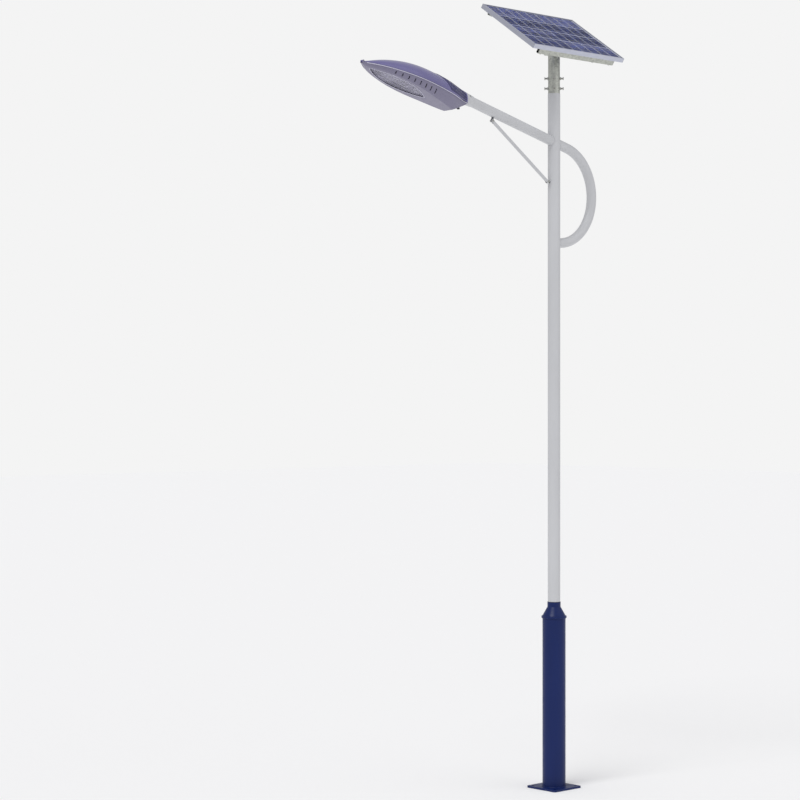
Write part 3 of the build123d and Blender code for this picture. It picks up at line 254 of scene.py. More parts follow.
def hex_head(flat, height, soft):
    """Hexagonal bolt head with its top corners turned off."""
    corner = flat / math.sqrt(3)
    rings = [(corner, 0), (corner, height - soft), (corner * 0.97, height - soft * 0.4),
             (flat * 0.46, height)]
    verts = []
    for radius, z in rings:
        for i in range(6):
            turn = math.radians(60 * i)
            verts.append(Vector((radius * math.cos(turn), radius * math.sin(turn), z)))
    return verts, grid_faces(4, 6, close_columns=True) + [list(range(6))[::-1], list(range(18, 24))]


def thread(radius, pitch, start, end):
    """Thread ridge winding along Z on a round shank."""
    per_turn = 16
    count = int((end - start) / pitch * per_turn)
    depth = pitch * 0.45
    verts = []
    for i in range(count + 1):
        turn = 2 * math.pi * i / per_turn
        middle = start + pitch * i / per_turn
        edge = min(1, i / 4, (count - i) / 4)
        for out, rise in ((-0.2, -0.42), (edge, 0), (-0.2, 0.42)):
            r = radius + out * depth
            verts.append(Vector((r * math.cos(turn), r * math.sin(turn), middle + rise * pitch)))
    faces = grid_faces(count + 1, 3, close_columns=True)
    return verts, faces + [[0, 1, 2], [3 * count + 2, 3 * count + 1, 3 * count]]


def window_outline(offset, steps):
    """Pointed oval of two arcs, grown by an offset, in the window's own plane."""
    half, width = WINDOW_HALF_LENGTH + offset, WINDOW_HALF_WIDTH + offset
    radius = (half ** 2 + width ** 2) / (2 * width)
    reach = math.asin(half / radius)
    points = []
    for side in (1, -1):
        for i in range(steps):
            turn = reach * (1 - 2 * i / steps) * side
            points.append((radius * math.sin(turn), side * (radius * math.cos(turn) - radius + width)))
    return points


def across_edge(outline, turn):
    """Point where a ray from the middle at an angle leaves a closed outline."""
    run = Vector((math.cos(turn), math.sin(turn)))
    for a, b in zip(outline, outline[1:] + outline[:1]):
        edge = Vector(b) - Vector(a)
        cross = run.x * edge.y - run.y * edge.x
        if abs(cross) < 1e-12:
            continue
        far = (a[0] * edge.y - a[1] * edge.x) / cross
        share = (a[0] * run.y - a[1] * run.x) / cross
        if far > 0 and -1e-6 <= share <= 1 + 1e-6:
            return run.x * far, run.y * far
    raise RuntimeError("the outline isn't closed round its middle")


def facing(point, direction):
    """Matrix at a point whose Z runs along a direction."""
    return Matrix.Translation(point) @ Vector(direction).to_track_quat("Z", "Y").to_matrix().to_4x4()


def surface_of(node):
    """Search tree over a CAD node's faces."""
    mesh = frame["nodes"][node].data
    return BVHTree.FromPolygons([v.co for v in mesh.vertices], [list(p.vertices) for p in mesh.polygons])


# ------------------------------------------------------------------ materials
def add(tree, kind, inputs=None, outputs=None, **settings):
    """Add a node with its settings and links; an input takes a value or another node's socket."""
    node = tree.nodes.new("ShaderNode" + kind)
    for name, value in settings.items():
        setattr(node, name, value)
    for name, value in (inputs or {}).items():
        if isinstance(value, bpy.types.NodeSocket):
            tree.links.new(value, node.inputs[name])
        else:
            node.inputs[name].default_value = value
    for name, target in (outputs or {}).items():
        tree.links.new(node.outputs[name], target)
    return node


def start_material(name, roughness, metallic=0.0, **sockets):
    """New material with its shader's constant values; returns it, its tree, shader inputs and coordinates."""
    material = bpy.data.materials.new(name)
    material.use_nodes = True
    tree = material.node_tree
    shader = tree.nodes["Principled BSDF"].inputs
    shader["Roughness"].default_value = roughness
    shader["Metallic"].default_value = metallic
    for socket, value in sockets.items():
        shader[socket.replace("_", " ")].default_value = value
    place = add(tree, "TexCoord").outputs["Object"]
    return material, tree, shader, place


def rgba(colour):
    return (*tuple(colour)[:3], 1.0)


def shade(colour, by):
    return tuple(min(1.0, c * by) for c in tuple(colour)[:3])


def patches(tree, place, width_mm, levels=(0.0, 1.0), to=(0.0, 1.0), detail=3.0, stretch=(1, 1, 1)):
    """Soft random patches about this many millimetres wide, spread from the levels to other values."""
    scaled = add(tree, "Mapping", {"Vector": place, "Scale": stretch}).outputs["Vector"]
    cloud = add(tree, "TexNoise", {"Vector": scaled, "Scale": 1 / (width_mm * MM),
                                             "Detail": detail})
    spread = add(tree, "MapRange", {"Value": cloud.outputs["Fac"], "From Min": levels[0],
                                              "From Max": levels[1], "To Min": to[0], "To Max": to[1]})
    return spread.outputs["Result"]


def worn_surface(name, fresh, worn, roughness, metallic, stain, dull=None, relief=None, pattern=None,
                 **sockets):
    """Fresh colour with worn patches; stain, dull and the relief's last value are what patches() takes.

    Relief is its depth in millimetres, its strength and its patches; pattern is what all three share."""
    material, tree, shader, place = start_material(name, roughness, metallic, **sockets)
    shared = pattern or {}
    add(tree, "Mix", {0: patches(tree, place, *stain, **shared), 6: rgba(fresh), 7: rgba(worn)},
        {2: shader["Base Color"]}, data_type="RGBA")
    if dull:
        tree.links.new(patches(tree, place, *dull, **shared), shader["Roughness"])
    if relief:
        depth_mm, strength, bumps = relief
        add(tree, "Bump", {"Height": patches(tree, place, *bumps, **shared),
                                     "Distance": depth_mm * MM, "Strength": strength},
            {"Normal": shader["Normal"]})
    return material


def powder_coat(name, colour, roughness, coat, wear=0.86, shine=0.5):
    """Baked polyester powder: even colour, faint orange peel and weathering in soft patches."""
    material, tree, shader, place = start_material(name, roughness, IOR=1.5, Coat_Weight=coat,
                                                   Coat_Roughness=0.12, Specular_IOR_Level=shine)
    # rain washes the paint in streaks four times as long as they are wide
    washed = patches(tree, place, 170, (0.35, 0.75), detail=4, stretch=(1, 1, 0.25))
    faded = add(tree, "Mix", {0: washed, 6: rgba(colour), 7: rgba(shade(colour, wear))},
                data_type="RGBA").outputs[2]
    specks = patches(tree, place, 9, (0.62, 0.8), (0, 0.25), detail=5)
    add(tree, "Mix", {0: specks, 6: faded, 7: rgba(shade(colour, 0.8))},
        {2: shader["Base Color"]}, data_type="RGBA")
    dull = patches(tree, place, 60, (0.3, 0.7), (roughness * 0.85, roughness * 1.2), detail=4)
    tree.links.new(dull, shader["Roughness"])
    # real orange peel is 1 to 2 mm wide and is drawn at 3 mm so that it shows
    add(tree, "Bump", {"Height": patches(tree, place, 3, detail=2), "Distance": 0.05 * MM,
                                 "Strength": 0.5}, {"Normal": shader["Normal"]})
    return material


def gloss_navy_powder_coat(name):
    """Deep navy paint with little gloss of its own: the post reads as one dark, soft-edged tube."""
    return powder_coat(name, colours().post, 0.36, 0.0, 0.86, 0.22)


def satin_white_powder_coat(name):
    """Off-white satin paint: a broad pale highlight that fades slowly round the pole."""
    return powder_coat(name, colours().pole, 0.42, 0.1, 0.93)


def gloss_violet_enamel(name):
    """Violet enamel under a clear coat: a sharp light streak along the head's crest."""
    return powder_coat(name, colours().cover, 0.28, 0.4, 0.9)


def painted_shade_violet_enamel(name):
    """The same enamel much darker, painted shade over the cover's back: the ribs read as shadow lines."""
    return powder_coat(name, colours().cover_back_shade, 0.34, 0.3, 0.85)


def satin_lilac_enamel(name):
    """Grey lilac satin: a quiet underside that lets the window and vents stand out."""
    return powder_coat(name, colours().housing, 0.38, 0.15, 0.92)


def pale_lilac_enamel(name):
    """Pale lilac paint, lighter than the housing, on rolled edges and reflector cups: thin light lines round
    the rim and window.
    """
    return powder_coat(name, linear("#C9C7DA"), 0.3, 0.3, 0.95)


def black_enamelled_steel(name):
    """Near black enamel: small dark accents at the knob and the brace's lugs."""
    return powder_coat(name, linear("#3A3A44"), 0.4, 0.2)


def hot_dip_galvanised_steel(name):
    """Hot-dip zinc: dull grey metal with flat crystal spangles a centimetre wide."""
    material, tree, shader, place = start_material(name, 0.45, 1.0)
    spangle = add(tree, "TexVoronoi", {"Vector": place, "Scale": 1 / (11 * MM)}).outputs["Color"]
    tone = add(tree, "SeparateColor", {"Color": spangle}).outputs["Red"]
    add(tree, "Mix", {0: tone, 6: rgba(linear("#A6A8A2")), 7: rgba(linear("#CBCDC5"))},
        {2: shader["Base Color"]}, data_type="RGBA")
    add(tree, "MapRange", {"Value": tone, "To Min": 0.36, "To Max": 0.55},
        {"Result": shader["Roughness"]})
    add(tree, "Bump", {"Height": patches(tree, place, 14), "Distance": 0.12 * MM, "Strength": 0.4},
        {"Normal": shader["Normal"]})
    return material


def zinc_plated_steel(name):
    """Bright zinc on turned steel: pale, slightly warm metal with fine turning lines."""
    return worn_surface(name, linear("#C2C3C0"), linear("#A3A29A"), 0.32, 1.0, (12, (0.4, 0.7), (0, 1), 4),
                        dull=(5, (0.3, 0.7), (0.24, 0.42), 4),
                        relief=(0.03, 0.4, (0.8, (0, 1), (0, 1), 2, (1, 1, 4))))


def drawn_metal(name, colour, roughness=0.36):
    """Metal drawn through a die: long faint lines along X that stretch the highlights."""
    lines = {"detail": 4, "stretch": (0.04, 1, 1)}
    return worn_surface(name, colour, shade(colour, 0.82), roughness, 1.0, (2.2, (0.3, 0.7)),
                        dull=(2.2, (0.3, 0.7), (roughness * 0.85, roughness * 1.2)),
                        relief=(0.04, 0.5, (2.2,)), pattern=lines)


def anodised_aluminium(name):
    """Clear anodised frame: pale silver with a cool tint, bright on its edges."""
    return drawn_metal(name, linear("#CBCEDC"))


def extruded_aluminium(name):
    """Bare extrusion: a duller grey than the anodised frame."""
    return drawn_metal(name, linear("#A9ABAF"), 0.42)


def tinned_copper(name):
    """Tinned ribbon: thin bright silver lines across the dark cells."""
    return drawn_metal(name, linear("#C7CAD2"), 0.3)


def cast_aluminium(name):
    """Die-cast aluminium: dull metal skin with a sandy grain."""
    colour = linear("#9C9DA3")
    return worn_surface(name, colour, shade(colour, 0.75), 0.5, 1.0, (2.5, (0.35, 0.7), (0, 1), 4),
                        relief=(0.12, 0.6, (2.5, (0, 1), (0, 1), 4)))


def moulded(name, text, roughness=0.5, grain_mm=1.6):
    """Injection-moulded plastic: even colour under a fine spark-eroded grain."""
    colour = linear(text)
    return worn_surface(name, colour, shade(colour, 0.82), roughness, 0.0, (45, (0.3, 0.7)),
                        dull=(grain_mm, (0.3, 0.7), (roughness * 0.85, roughness * 1.15)),
                        relief=(0.08, 0.5, (grain_mm,)), IOR=1.5)


def black_abs(name):
    """Black ABS: dark and matt, with a grain that breaks up its highlights."""
    return moulded(name, "#26272B")


def blue_grey_abs(name):
    """Blue-grey ABS: the controller's case stands out from the dark tube."""
    return moulded(name, "#4A6277", 0.45)


def white_nylon(name):
    """White nylon: slightly yellow and waxy."""
    return moulded(name, "#D5D4CC", 0.5)


def green_acrylic(name):
    """Green display window: smooth and glossy beside the grained case."""
    return moulded(name, "#7C9478", 0.15, 4)


def woven_nylon(name):
    """Nylon webbing: dull grey, rough enough to hide its edges."""
    return moulded(name, "#3B4048", 0.8, 1.2)


def epdm_rubber(name):
    """Extruded EPDM: near black and dull, with a bloom of grey dust."""
    return worn_surface(name, linear("#17171A"), linear("#3A3A3E"), 0.75, 0.0,
                        (18, (0.45, 0.75), (0, 0.6), 4), relief=(0.06, 0.6, (1.5,)), IOR=1.52)


def clear_sheet(name, text, alpha, shine):
    """Toughened glass: sharp reflections over a nearly clear sheet with a little dust."""
    material, tree, shader, place = start_material(name, 0.05, IOR=1.52, Specular_IOR_Level=shine)
    colour = linear(text)
    dust = patches(tree, place, 120, (0.4, 0.75), detail=4)
    add(tree, "Mix", {0: dust, 6: rgba(colour), 7: rgba(shade(colour, 1.5))},
        {2: shader["Base Color"]}, data_type="RGBA")
    for socket, clean, dusty in (("Alpha", alpha, alpha * 1.7), ("Roughness", 0.04, 0.14)):
        add(tree, "MapRange", {"Value": dust, "To Min": clean, "To Max": dusty},
            {"Result": shader[socket]})
    return material


def toughened_window_glass(name):
    """Window glass with the haze of use: the light sources show as pale rows behind it."""
    return clear_sheet(name, "#A5A2B8", 0.28, 0.5)


def low_iron_glass(name):
    """Low-iron glass with a matt-reflection coat: hardly there over the blue cells."""
    return clear_sheet(name, "#3A4A98", 0.03, 0.25)


def polycrystalline_silicon(name):
    """Polycrystalline silicon: blue crystal flakes in two sizes under fine silver fingers."""
    material, tree, shader, place = start_material(name, 0.3, IOR=1.6, Specular_IOR_Level=0.3)
    flat = add(tree, "Mapping", {"Vector": place, "Rotation": (-PANEL_TILT, 0, 0)},
               vector_type="POINT").outputs["Vector"]
    # real flakes are about 10 mm wide and are drawn at 22 mm so that they show
    flakes = add(tree, "TexVoronoi", {"Vector": flat, "Scale": 1 / (22 * MM)}).outputs["Color"]
    tone = add(tree, "SeparateColor", {"Color": flakes}).outputs["Green"]
    wide = add(tree, "TexVoronoi", {"Vector": flat, "Scale": 1 / (48 * MM)}).outputs["Color"]
    wide_tone = add(tree, "SeparateColor", {"Color": wide}).outputs["Blue"]
    both = add(tree, "Math", {0: tone, 1: wide_tone}, operation="MULTIPLY").outputs[0]
    crystals = add(tree, "Mix", {0: both, 6: rgba(colours().cell), 7: rgba(colours().cell_light)},
                   data_type="RGBA").outputs[2]
    # real fingers are 2 mm apart and are drawn at 4 mm so that they show
    along = add(tree, "SeparateXYZ", {"Vector": flat}).outputs["Y"]
    step = add(tree, "Math", {0: along, 1: 4 * MM}, operation="MODULO").outputs[0]
    finger = add(tree, "Math", {0: step, 1: 0.35 * MM}, operation="LESS_THAN").outputs[0]
    soft = add(tree, "Math", {0: finger, 1: 0.3}, operation="MULTIPLY").outputs[0]
    add(tree, "Mix", {0: soft, 6: crystals, 7: rgba(linear("#8792BC"))},
        {2: shader["Base Color"]}, data_type="RGBA")
    add(tree, "MapRange", {"Value": tone, "To Min": 0.24, "To Max": 0.42},
        {"Result": shader["Roughness"]})
    return material


def white_backsheet(name):
    """White laminated film: matt, faintly embossed."""
    colour = linear("#CDD0DC")
    return worn_surface(name, colour, shade(colour, 0.9), 0.55, 0.0, (40, (0.35, 0.7), (0, 1), 4),
                        relief=(0.1, 0.3, (6, (0, 1), (0, 1), 2)), IOR=1.45)


def lilac_circuit_board(name):
    """Lilac-grey solder mask over copper: satin, with faint raised tracks."""
    material, tree, shader, place = start_material(name, 0.35, IOR=1.5)
    tracks = add(tree, "TexBrick",
                 {"Vector": place, "Scale": 1 / (40 * MM), "Mortar Size": 0.03,
                  "Color1": rgba(linear("#8E8B9E")), "Color2": rgba(linear("#858296")),
                  "Mortar": rgba(linear("#9A97AA"))}, {"Color": shader["Base Color"]})
    add(tree, "Bump", {"Height": tracks.outputs["Fac"], "Distance": 0.08 * MM, "Strength": 0.5},
        {"Normal": shader["Normal"]})
    return material


def clear_acrylic(name):
    """Moulded acrylic lenses: clear and glossy, faintly milky inside."""
    material, tree, shader, place = start_material(name, 0.08, IOR=1.49)
    milk = patches(tree, place, 8, (0.3, 0.7), (0.32, 0.45), detail=2)
    tree.links.new(milk, shader["Alpha"])
    add(tree, "Mix", {0: milk, 6: rgba(linear("#E9E9E2")), 7: rgba(linear("#F5F5F0"))},
        {2: shader["Base Color"]}, data_type="RGBA")
    return material


def yellow_phosphor(name):
    """Yellow phosphor over the light sources: matt, slightly uneven."""
    return worn_surface(name, linear("#E6C94C"), linear("#D6AE2E"), 0.6, 0.0, (2, (0.3, 0.7), (0, 1), 2),
                        IOR=1.45)


def turned_brass(name):
    """Turned brass posts: warm yellow metal with dull spots."""
    return worn_surface(name, linear("#CFAE63"), linear("#8E7440"), 0.3, 1.0, (4, (0.4, 0.7), (0, 1), 4),
                        dull=(4, (0.4, 0.7), (0.22, 0.45), 4))


def matt_floor_paint(name):
    """White matt paint: a floor that takes a soft shadow and gives no reflection."""
    material, _, shader, _ = start_material(name, 0.9, Specular_IOR_Level=0.0)
    shader["Base Color"].default_value = rgba(linear("#FEFEFE"))
    return material


def finish_of(recipe):
    """A material function's material, made the first time it is asked for."""
    name = recipe.__name__
    return bpy.data.materials.get(name) or recipe(name)


def dress(finishes):
    """Give CAD nodes their material, and smooth shading across welded edges."""
    for recipe, nodes in finishes.items():
        for node in nodes:
            thing = frame["nodes"][node]
            thing.data.materials.clear()
            thing.data.materials.append(finish_of(recipe))
            custom = thing.data.attributes.get("custom_normal")
            if custom:
                thing.data.attributes.remove(custom)
            thing.data.shade_smooth()
            weld = thing.modifiers.new("Weld", "WELD")
            weld.merge_threshold = 0.01 * MM
            split = thing.modifiers.new("Crease", "EDGE_SPLIT")
            split.split_angle = math.radians(28)


def weld_ripple(seed):
    """Size of a weld bead along its run: even ripples with a little unevenness."""
    luck = random.Random(seed)
    offset = luck.random()
    pitch = sizes().ripple

    def size(distance):
        phase = (distance / pitch + offset) % 1
        return 0.86 + 0.2 * (1 - abs(2 * phase - 1)) + 0.05 * math.sin(distance * 90 + offset * 9)
    return size


def ring_points(radius, z, count=180):
    turns = [2 * math.pi * i / count for i in range(count)]
    return [Vector((radius * math.cos(turn), radius * math.sin(turn), z)) for turn in turns]


def saddle_points(root_z, direction, radius, count=140):
    """Where a tube along a direction from the pole's axis meets the pole's surface."""
    run = Vector(direction).normalized()
    side = Vector((0, 1, 0))
    top = run.cross(side)
    points = []
    for i in range(count):
        turn = 2 * math.pi * i / count
        offset = radius * (math.cos(turn) * side + math.sin(turn) * top)
        reach = math.sqrt(POLE_RADIUS ** 2 - offset.y ** 2)
        along = (math.copysign(reach, run.x) - offset.x) / run.x
        points.append(Vector((0, 0, root_z)) + offset + along * run)
    return points


# ------------------------------------------------------------------ operators
class LAMP_OT_post(bpy.types.Operator):
    """Base plate, base tube and collar, with the welds that join them"""
    bl_idname = "lamp.post"
    bl_label = "Base post"
    bl_options = {"REGISTER", "UNDO"}

    def execute(self, context):
        dress({gloss_navy_powder_coat: ["base_plate", "base_tube", "base_collar"]})
        weld = sizes().weld
        foot = ring_points(BASE_RADIUS + weld * 0.3, BASE_FOOT + weld * 0.3)
        head = ring_points(BASE_RADIUS + weld * 0.1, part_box("base_collar")[0].z - weld * 0.2)
        beads = [bead(foot, weld * 1.6, closed=True, ripple=weld_ripple(1)),
                 bead(head, weld * 0.9, closed=True, ripple=weld_ripple(2))]
        piece("post_welds", *joined(beads), gloss_navy_powder_coat, "pole", "navy_paint")
        seal = bead(ring_points(POLE_RADIUS + 1.4 * MM, COLLAR_TOP), 1.9 * MM, closed=True)
        piece("collar_seal", *seal, epdm_rubber, "pole", "seal_rubber")
        return {"FINISHED"}


class LAMP_OT_pole(bpy.types.Operator):
    """Upper pole with its inner tenon and centring ring"""
    bl_idname = "lamp.pole"
    bl_label = "Pole"
    bl_options = {"REGISTER", "UNDO"}

    def execute(self, context):
        dress({satin_white_powder_coat: ["upper_pole"],
               hot_dip_galvanised_steel: ["pole_tenon", "pole_centring_ring"]})
        plug = lathe([(POLE_RADIUS - 3 * MM, -1 * MM), (POLE_RADIUS - 0.4 * MM, -0.2 * MM),
                      (POLE_RADIUS - 1.5 * MM, 0.35 * MM), (POLE_RADIUS - 3 * MM, 0.3 * MM)], 64)
        piece("pole_lip", *moved(plug, Matrix.Translation((0, 0, POLE_TOP))),
              satin_white_powder_coat, "pole", "white_paint")
        return {"FINISHED"}


class LAMP_OT_arm(bpy.types.Operator):
    """Light arm, loop and neck, with the saddle welds on the pole"""
    bl_idname = "lamp.arm"
    bl_label = "Arm and loop"
    bl_options = {"REGISTER", "UNDO"}

    def execute(self, context):
        dress({satin_white_powder_coat: ["light_arm", "arm_loop", "arm_neck"],
               zinc_plated_steel: ["clamp_screws"]})
        out = Vector((-math.cos(ARM_TILT), 0, math.sin(ARM_TILT)))
        ends = ((ARM_ROOT_Z, out), (ARM_ROOT_Z, -out), (LOOP_FOOT_Z, Vector((1, 0, 0))))
        beads = [bead(saddle_points(z, run, ARM_RADIUS + 0.8 * MM), sizes().weld, closed=True,
                      ripple=weld_ripple(10 + i)) for i, (z, run) in enumerate(ends)]
        piece("arm_welds", *joined(beads), satin_white_powder_coat, "pole", "white_paint")
        return {"FINISHED"}


class LAMP_OT_brace(bpy.types.Operator):
    """Thin brace with its lugs, bolts and washers"""
    bl_idname = "lamp.brace"
    bl_label = "Brace"
    bl_options = {"REGISTER", "UNDO"}

    def execute(self, context):
        dress({satin_white_powder_coat: ["brace_rod"], black_enamelled_steel: ["brace_lugs"],
               zinc_plated_steel: ["brace_bolts"]})
        low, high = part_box("brace_bolts")
        head = 4 * 3.2 / math.sqrt(3) * MM
        places = [(low.x + head, high.z - head), (high.x - head, low.z + head)]
        rings = []
        for x, z in places:
            for side in (-1, 1):
                place = facing((x, side * 12.1 * MM, z), (0, side, 0))
                rings.append(moved(washer(4.2 * MM, 9.5 * MM, 1.4 * MM), place))
        piece("brace_washers", *joined(rings), zinc_plated_steel, "pole", "fastener_steel")
        return {"FINISHED"}


class LAMP_OT_hatch(bpy.types.Operator):
    """Service hatch with its frame, hinges, lock and rubber seal"""
    bl_idname = "lamp.hatch"
    bl_label = "Service hatch"
    bl_options = {"REGISTER", "UNDO"}

    def execute(self, context):
        dress({gloss_navy_powder_coat: ["hatch_door", "hatch_frame", "hatch_hinge_fixed"],
               zinc_plated_steel: ["hatch_hinge_pins", "lock_barrel", "lock_cam"]})
        low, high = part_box("hatch_door")
        edge = 1 * MM
        half = DOOR_HALF_ANGLE + edge / BASE_RADIUS
        radius = BASE_RADIUS - 1.2 * MM
        foot, top = low.z - edge, high.z + edge
        steps = 16
        turns = [half * (2 * i / steps - 1) for i in range(steps + 1)]
        loop = [(t, foot) for t in turns] + [(t, top) for t in reversed(turns)]
        points = [Vector((radius * math.cos(t), radius * math.sin(t), z)) for t, z in loop]
        seal = bead(points, sizes().seal, closed=True)
        piece("hatch_seal", *seal, epdm_rubber, "pole", "seal_rubber")
        lock = JOINTS["door_lock"]
        axis = Vector(lock["axis"])
        centre = Vector(lock["pos_m"]) + axis * (BASE_RADIUS + 3.1 * MM - 80 * MM)
        ring = washer(6.6 * MM, 12.4 * MM, 1.2 * MM)
        piece("lock_escutcheon", *moved(ring, facing(centre, axis)), zinc_plated_steel,
              "service_door", "fastener_steel")
        return {"FINISHED"}


class LAMP_OT_power(bpy.types.Operator):
    """Battery, charge controller and earth stud inside the base tube"""
    bl_idname = "lamp.power"
    bl_label = "Battery and controller"
    bl_options = {"REGISTER", "UNDO"}

    def execute(self, context):
        dress({hot_dip_galvanised_steel: ["battery_stand", "controller_bracket"],
               black_abs: ["battery_case", "battery_lid"], turned_brass: ["battery_terminals"],
               blue_grey_abs: ["charge_controller"], zinc_plated_steel: ["earth_stud"]})
        low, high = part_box("battery_case")
        corner = 6 * MM
        reach = high.x + 0.6 * MM - corner
        points = []
        for x, y, first in ((reach, reach, 0), (-reach, reach, 90),
                            (-reach, -reach, 180), (reach, -reach, 270)):
            for step in range(5):
                turn = math.radians(first + step * 22.5)
                points.append((x + corner * math.cos(turn), y + corner * math.sin(turn)))
        straps = []
        for share in (0.25, 0.72):
            z = low.z + share * (high.z - low.z)
            rings = [[Vector((x * grow, y * grow, z + dz)) for x, y in points]
                     for dz, grow in ((-12 * MM, 1.0), (-11 * MM, 1.02), (11 * MM, 1.02), (12 * MM, 1.0))]
            straps.append(([v for ring in rings for v in ring],
                           grid_faces(4, len(points), close_rows=True, close_columns=True)))
        piece("battery_straps", *joined(straps), woven_nylon, "pole", "battery_plastic")
        low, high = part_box("charge_controller")
        face = facing((high.x, 0, high.z - 45 * MM), (1, 0, 0))
        piece("controller_screen", *moved(pad(16 * MM, 26 * MM, 1.4 * MM, 0.6 * MM), face),
              green_acrylic, "pole", "controller_plastic")
        screws = [moved(pad(3 * MM, 3 * MM, 1.6 * MM, 0.7 * MM),
                        facing((high.x, (step - 2.5) * 90 / 7 * MM, low.z + 19 * MM), (1, 0, 0)))
                  for step in range(6)]
        piece("controller_screws", *joined(screws), zinc_plated_steel, "pole", "fastener_steel")
        return {"FINISHED"}


class LAMP_OT_housing(bpy.types.Operator):
    """Lower half of the lamp head with its rolled rim and window bezel"""
    bl_idname = "lamp.housing"
    bl_label = "Lamp housing"
    bl_options = {"REGISTER", "UNDO"}

    def execute(self, context):
        dress({satin_lilac_enamel: ["lower_housing", "rear_bulkhead"], epdm_rubber: ["cover_gasket"],
               zinc_plated_steel: ["cover_hinge_pin"]})
        shell = surface_of("lower_housing")
        steps = 90
        beads = []
        for side in (-1, 1):
            points = []
            for i in range(steps + 1):
                x = -(4 * MM + (HEAD_LENGTH - 14 * MM) * i / steps)
                start = HEAD @ Vector((x, side * 0.4, -3.5 * MM))
                hit = shell.ray_cast(start, (0, -side, 0))[0]
                if hit:
                    points.append(hit)
            beads.append(bead(points, sizes().rim_bead, sides=10))
        piece("rim_bead", *joined(beads), pale_lilac_enamel, "pole", "grey_housing")
        points = [FLOOR @ Vector((x, y, 0)) for x, y in window_outline(0, 48)]
        piece("window_bezel", *bead(points, sizes().bezel, closed=True), pale_lilac_enamel,
              "pole", "grey_housing")
        return {"FINISHED"}


def window_surround():
    """Pressed plate that fills the window round the board, with a black chevron at each end as painted shade
    in the window's pointed ends.
    """
    window = window_outline(-5 * MM, 48)
    rings = []
    for z in (17, 18.5):
        rings.append([Vector((x, y, z * MM)) for x, y in window])
    inner = [across_edge(BOARD_OUTLINE, math.atan2(y, x)) for x, y in window]
    for z in (18.5, 17):
        rings.append([Vector((x, y, z * MM)) for x, y in inner])
    plate = [v for ring in rings for v in ring], grid_faces(4, len(window), True, True)
    piece("light_surround", *moved(plate, FLOOR), satin_lilac_enamel, "pole", "grey_housing")
    # painted shade: black chevrons where the window's pointed ends lie in shadow
    painted_shade_ends = []
    for side in (-1, 1):
        flat = [(118, 69), (182, 0), (118, -69), (148, -64), (240, 0), (148, 64)]
        low = [Vector((side * x, y, 14.5)) * MM for x, y in flat]
        high = [Vector((side * x, y, 17.2)) * MM for x, y in flat]
        faces = [[0, 1, 4, 5], [1, 2, 3, 4], [6, 11, 10, 7], [7, 10, 9, 8]]
        faces += [[i, 6 + i, 6 + (i + 1) % 6, (i + 1) % 6] for i in range(6)]
        painted_shade_ends.append(moved((low + high, faces), FLOOR))
    piece("painted_shade_chevrons", *joined(painted_shade_ends), black_abs, "pole", "driver_case")


class LAMP_OT_light(bpy.types.Operator):
    """Window, light sources, heat sink, driver and the tray that carries them"""
    bl_idname = "lamp.light"
    bl_label = "Light engine"
    bl_options = {"REGISTER", "UNDO"}

    def execute(self, context):
        dress({toughened_window_glass: ["window_glass"], epdm_rubber: ["window_gasket"],
               extruded_aluminium: ["window_retainer", "led_heat_sink"], cast_aluminium: ["led_driver"],
               lilac_circuit_board: ["led_board"], clear_acrylic: ["led_lenses"],
               white_nylon: ["terminal_block"], hot_dip_galvanised_steel: ["gear_tray", "spigot_clamp"]})
        half = sizes().chip / 2
        down = Matrix.Rotation(math.pi, 4, "X")
        chips = []
        cups = []
        for column in range(LED_COLUMNS):
            for row in range(LED_ROWS):
                spot = Matrix.Translation((centred(column, LED_COLUMNS, LED_PITCH),
                                           centred(row, LED_ROWS, LED_ROW_PITCH), BOARD_FACE))
                chips.append(moved(pad(half, half, 0.9 * MM, 0.3 * MM), FLOOR @ spot @ down))
                cup = lathe([(6.4 * MM, 0), (9.2 * MM, 4.6 * MM), (9.8 * MM, 4.6 * MM), (9.8 * MM, 4.0 * MM),
                             (7.2 * MM, 0)], 20)
                cups.append(moved(cup, FLOOR @ spot @ down))
        piece("light_chips", *joined(chips), yellow_phosphor, "pole", "led_lens")
        piece("light_reflectors", *joined(cups), pale_lilac_enamel, "pole", "driver_case")
        window_surround()
        screws = []
        for x in (-150, -95, 95, 150):
            for y in (-52, 52) if abs(x) < 120 else (0,):
                place = FLOOR @ Matrix.Translation((x * MM, y * MM, BOARD_FACE)) @ down
                screws.append(moved(hex_head(5.5 * MM, 2.2 * MM, 0.6 * MM), place))
        piece("board_screws", *joined(screws), zinc_plated_steel, "pole", "fastener_steel")
        return {"FINISHED"}


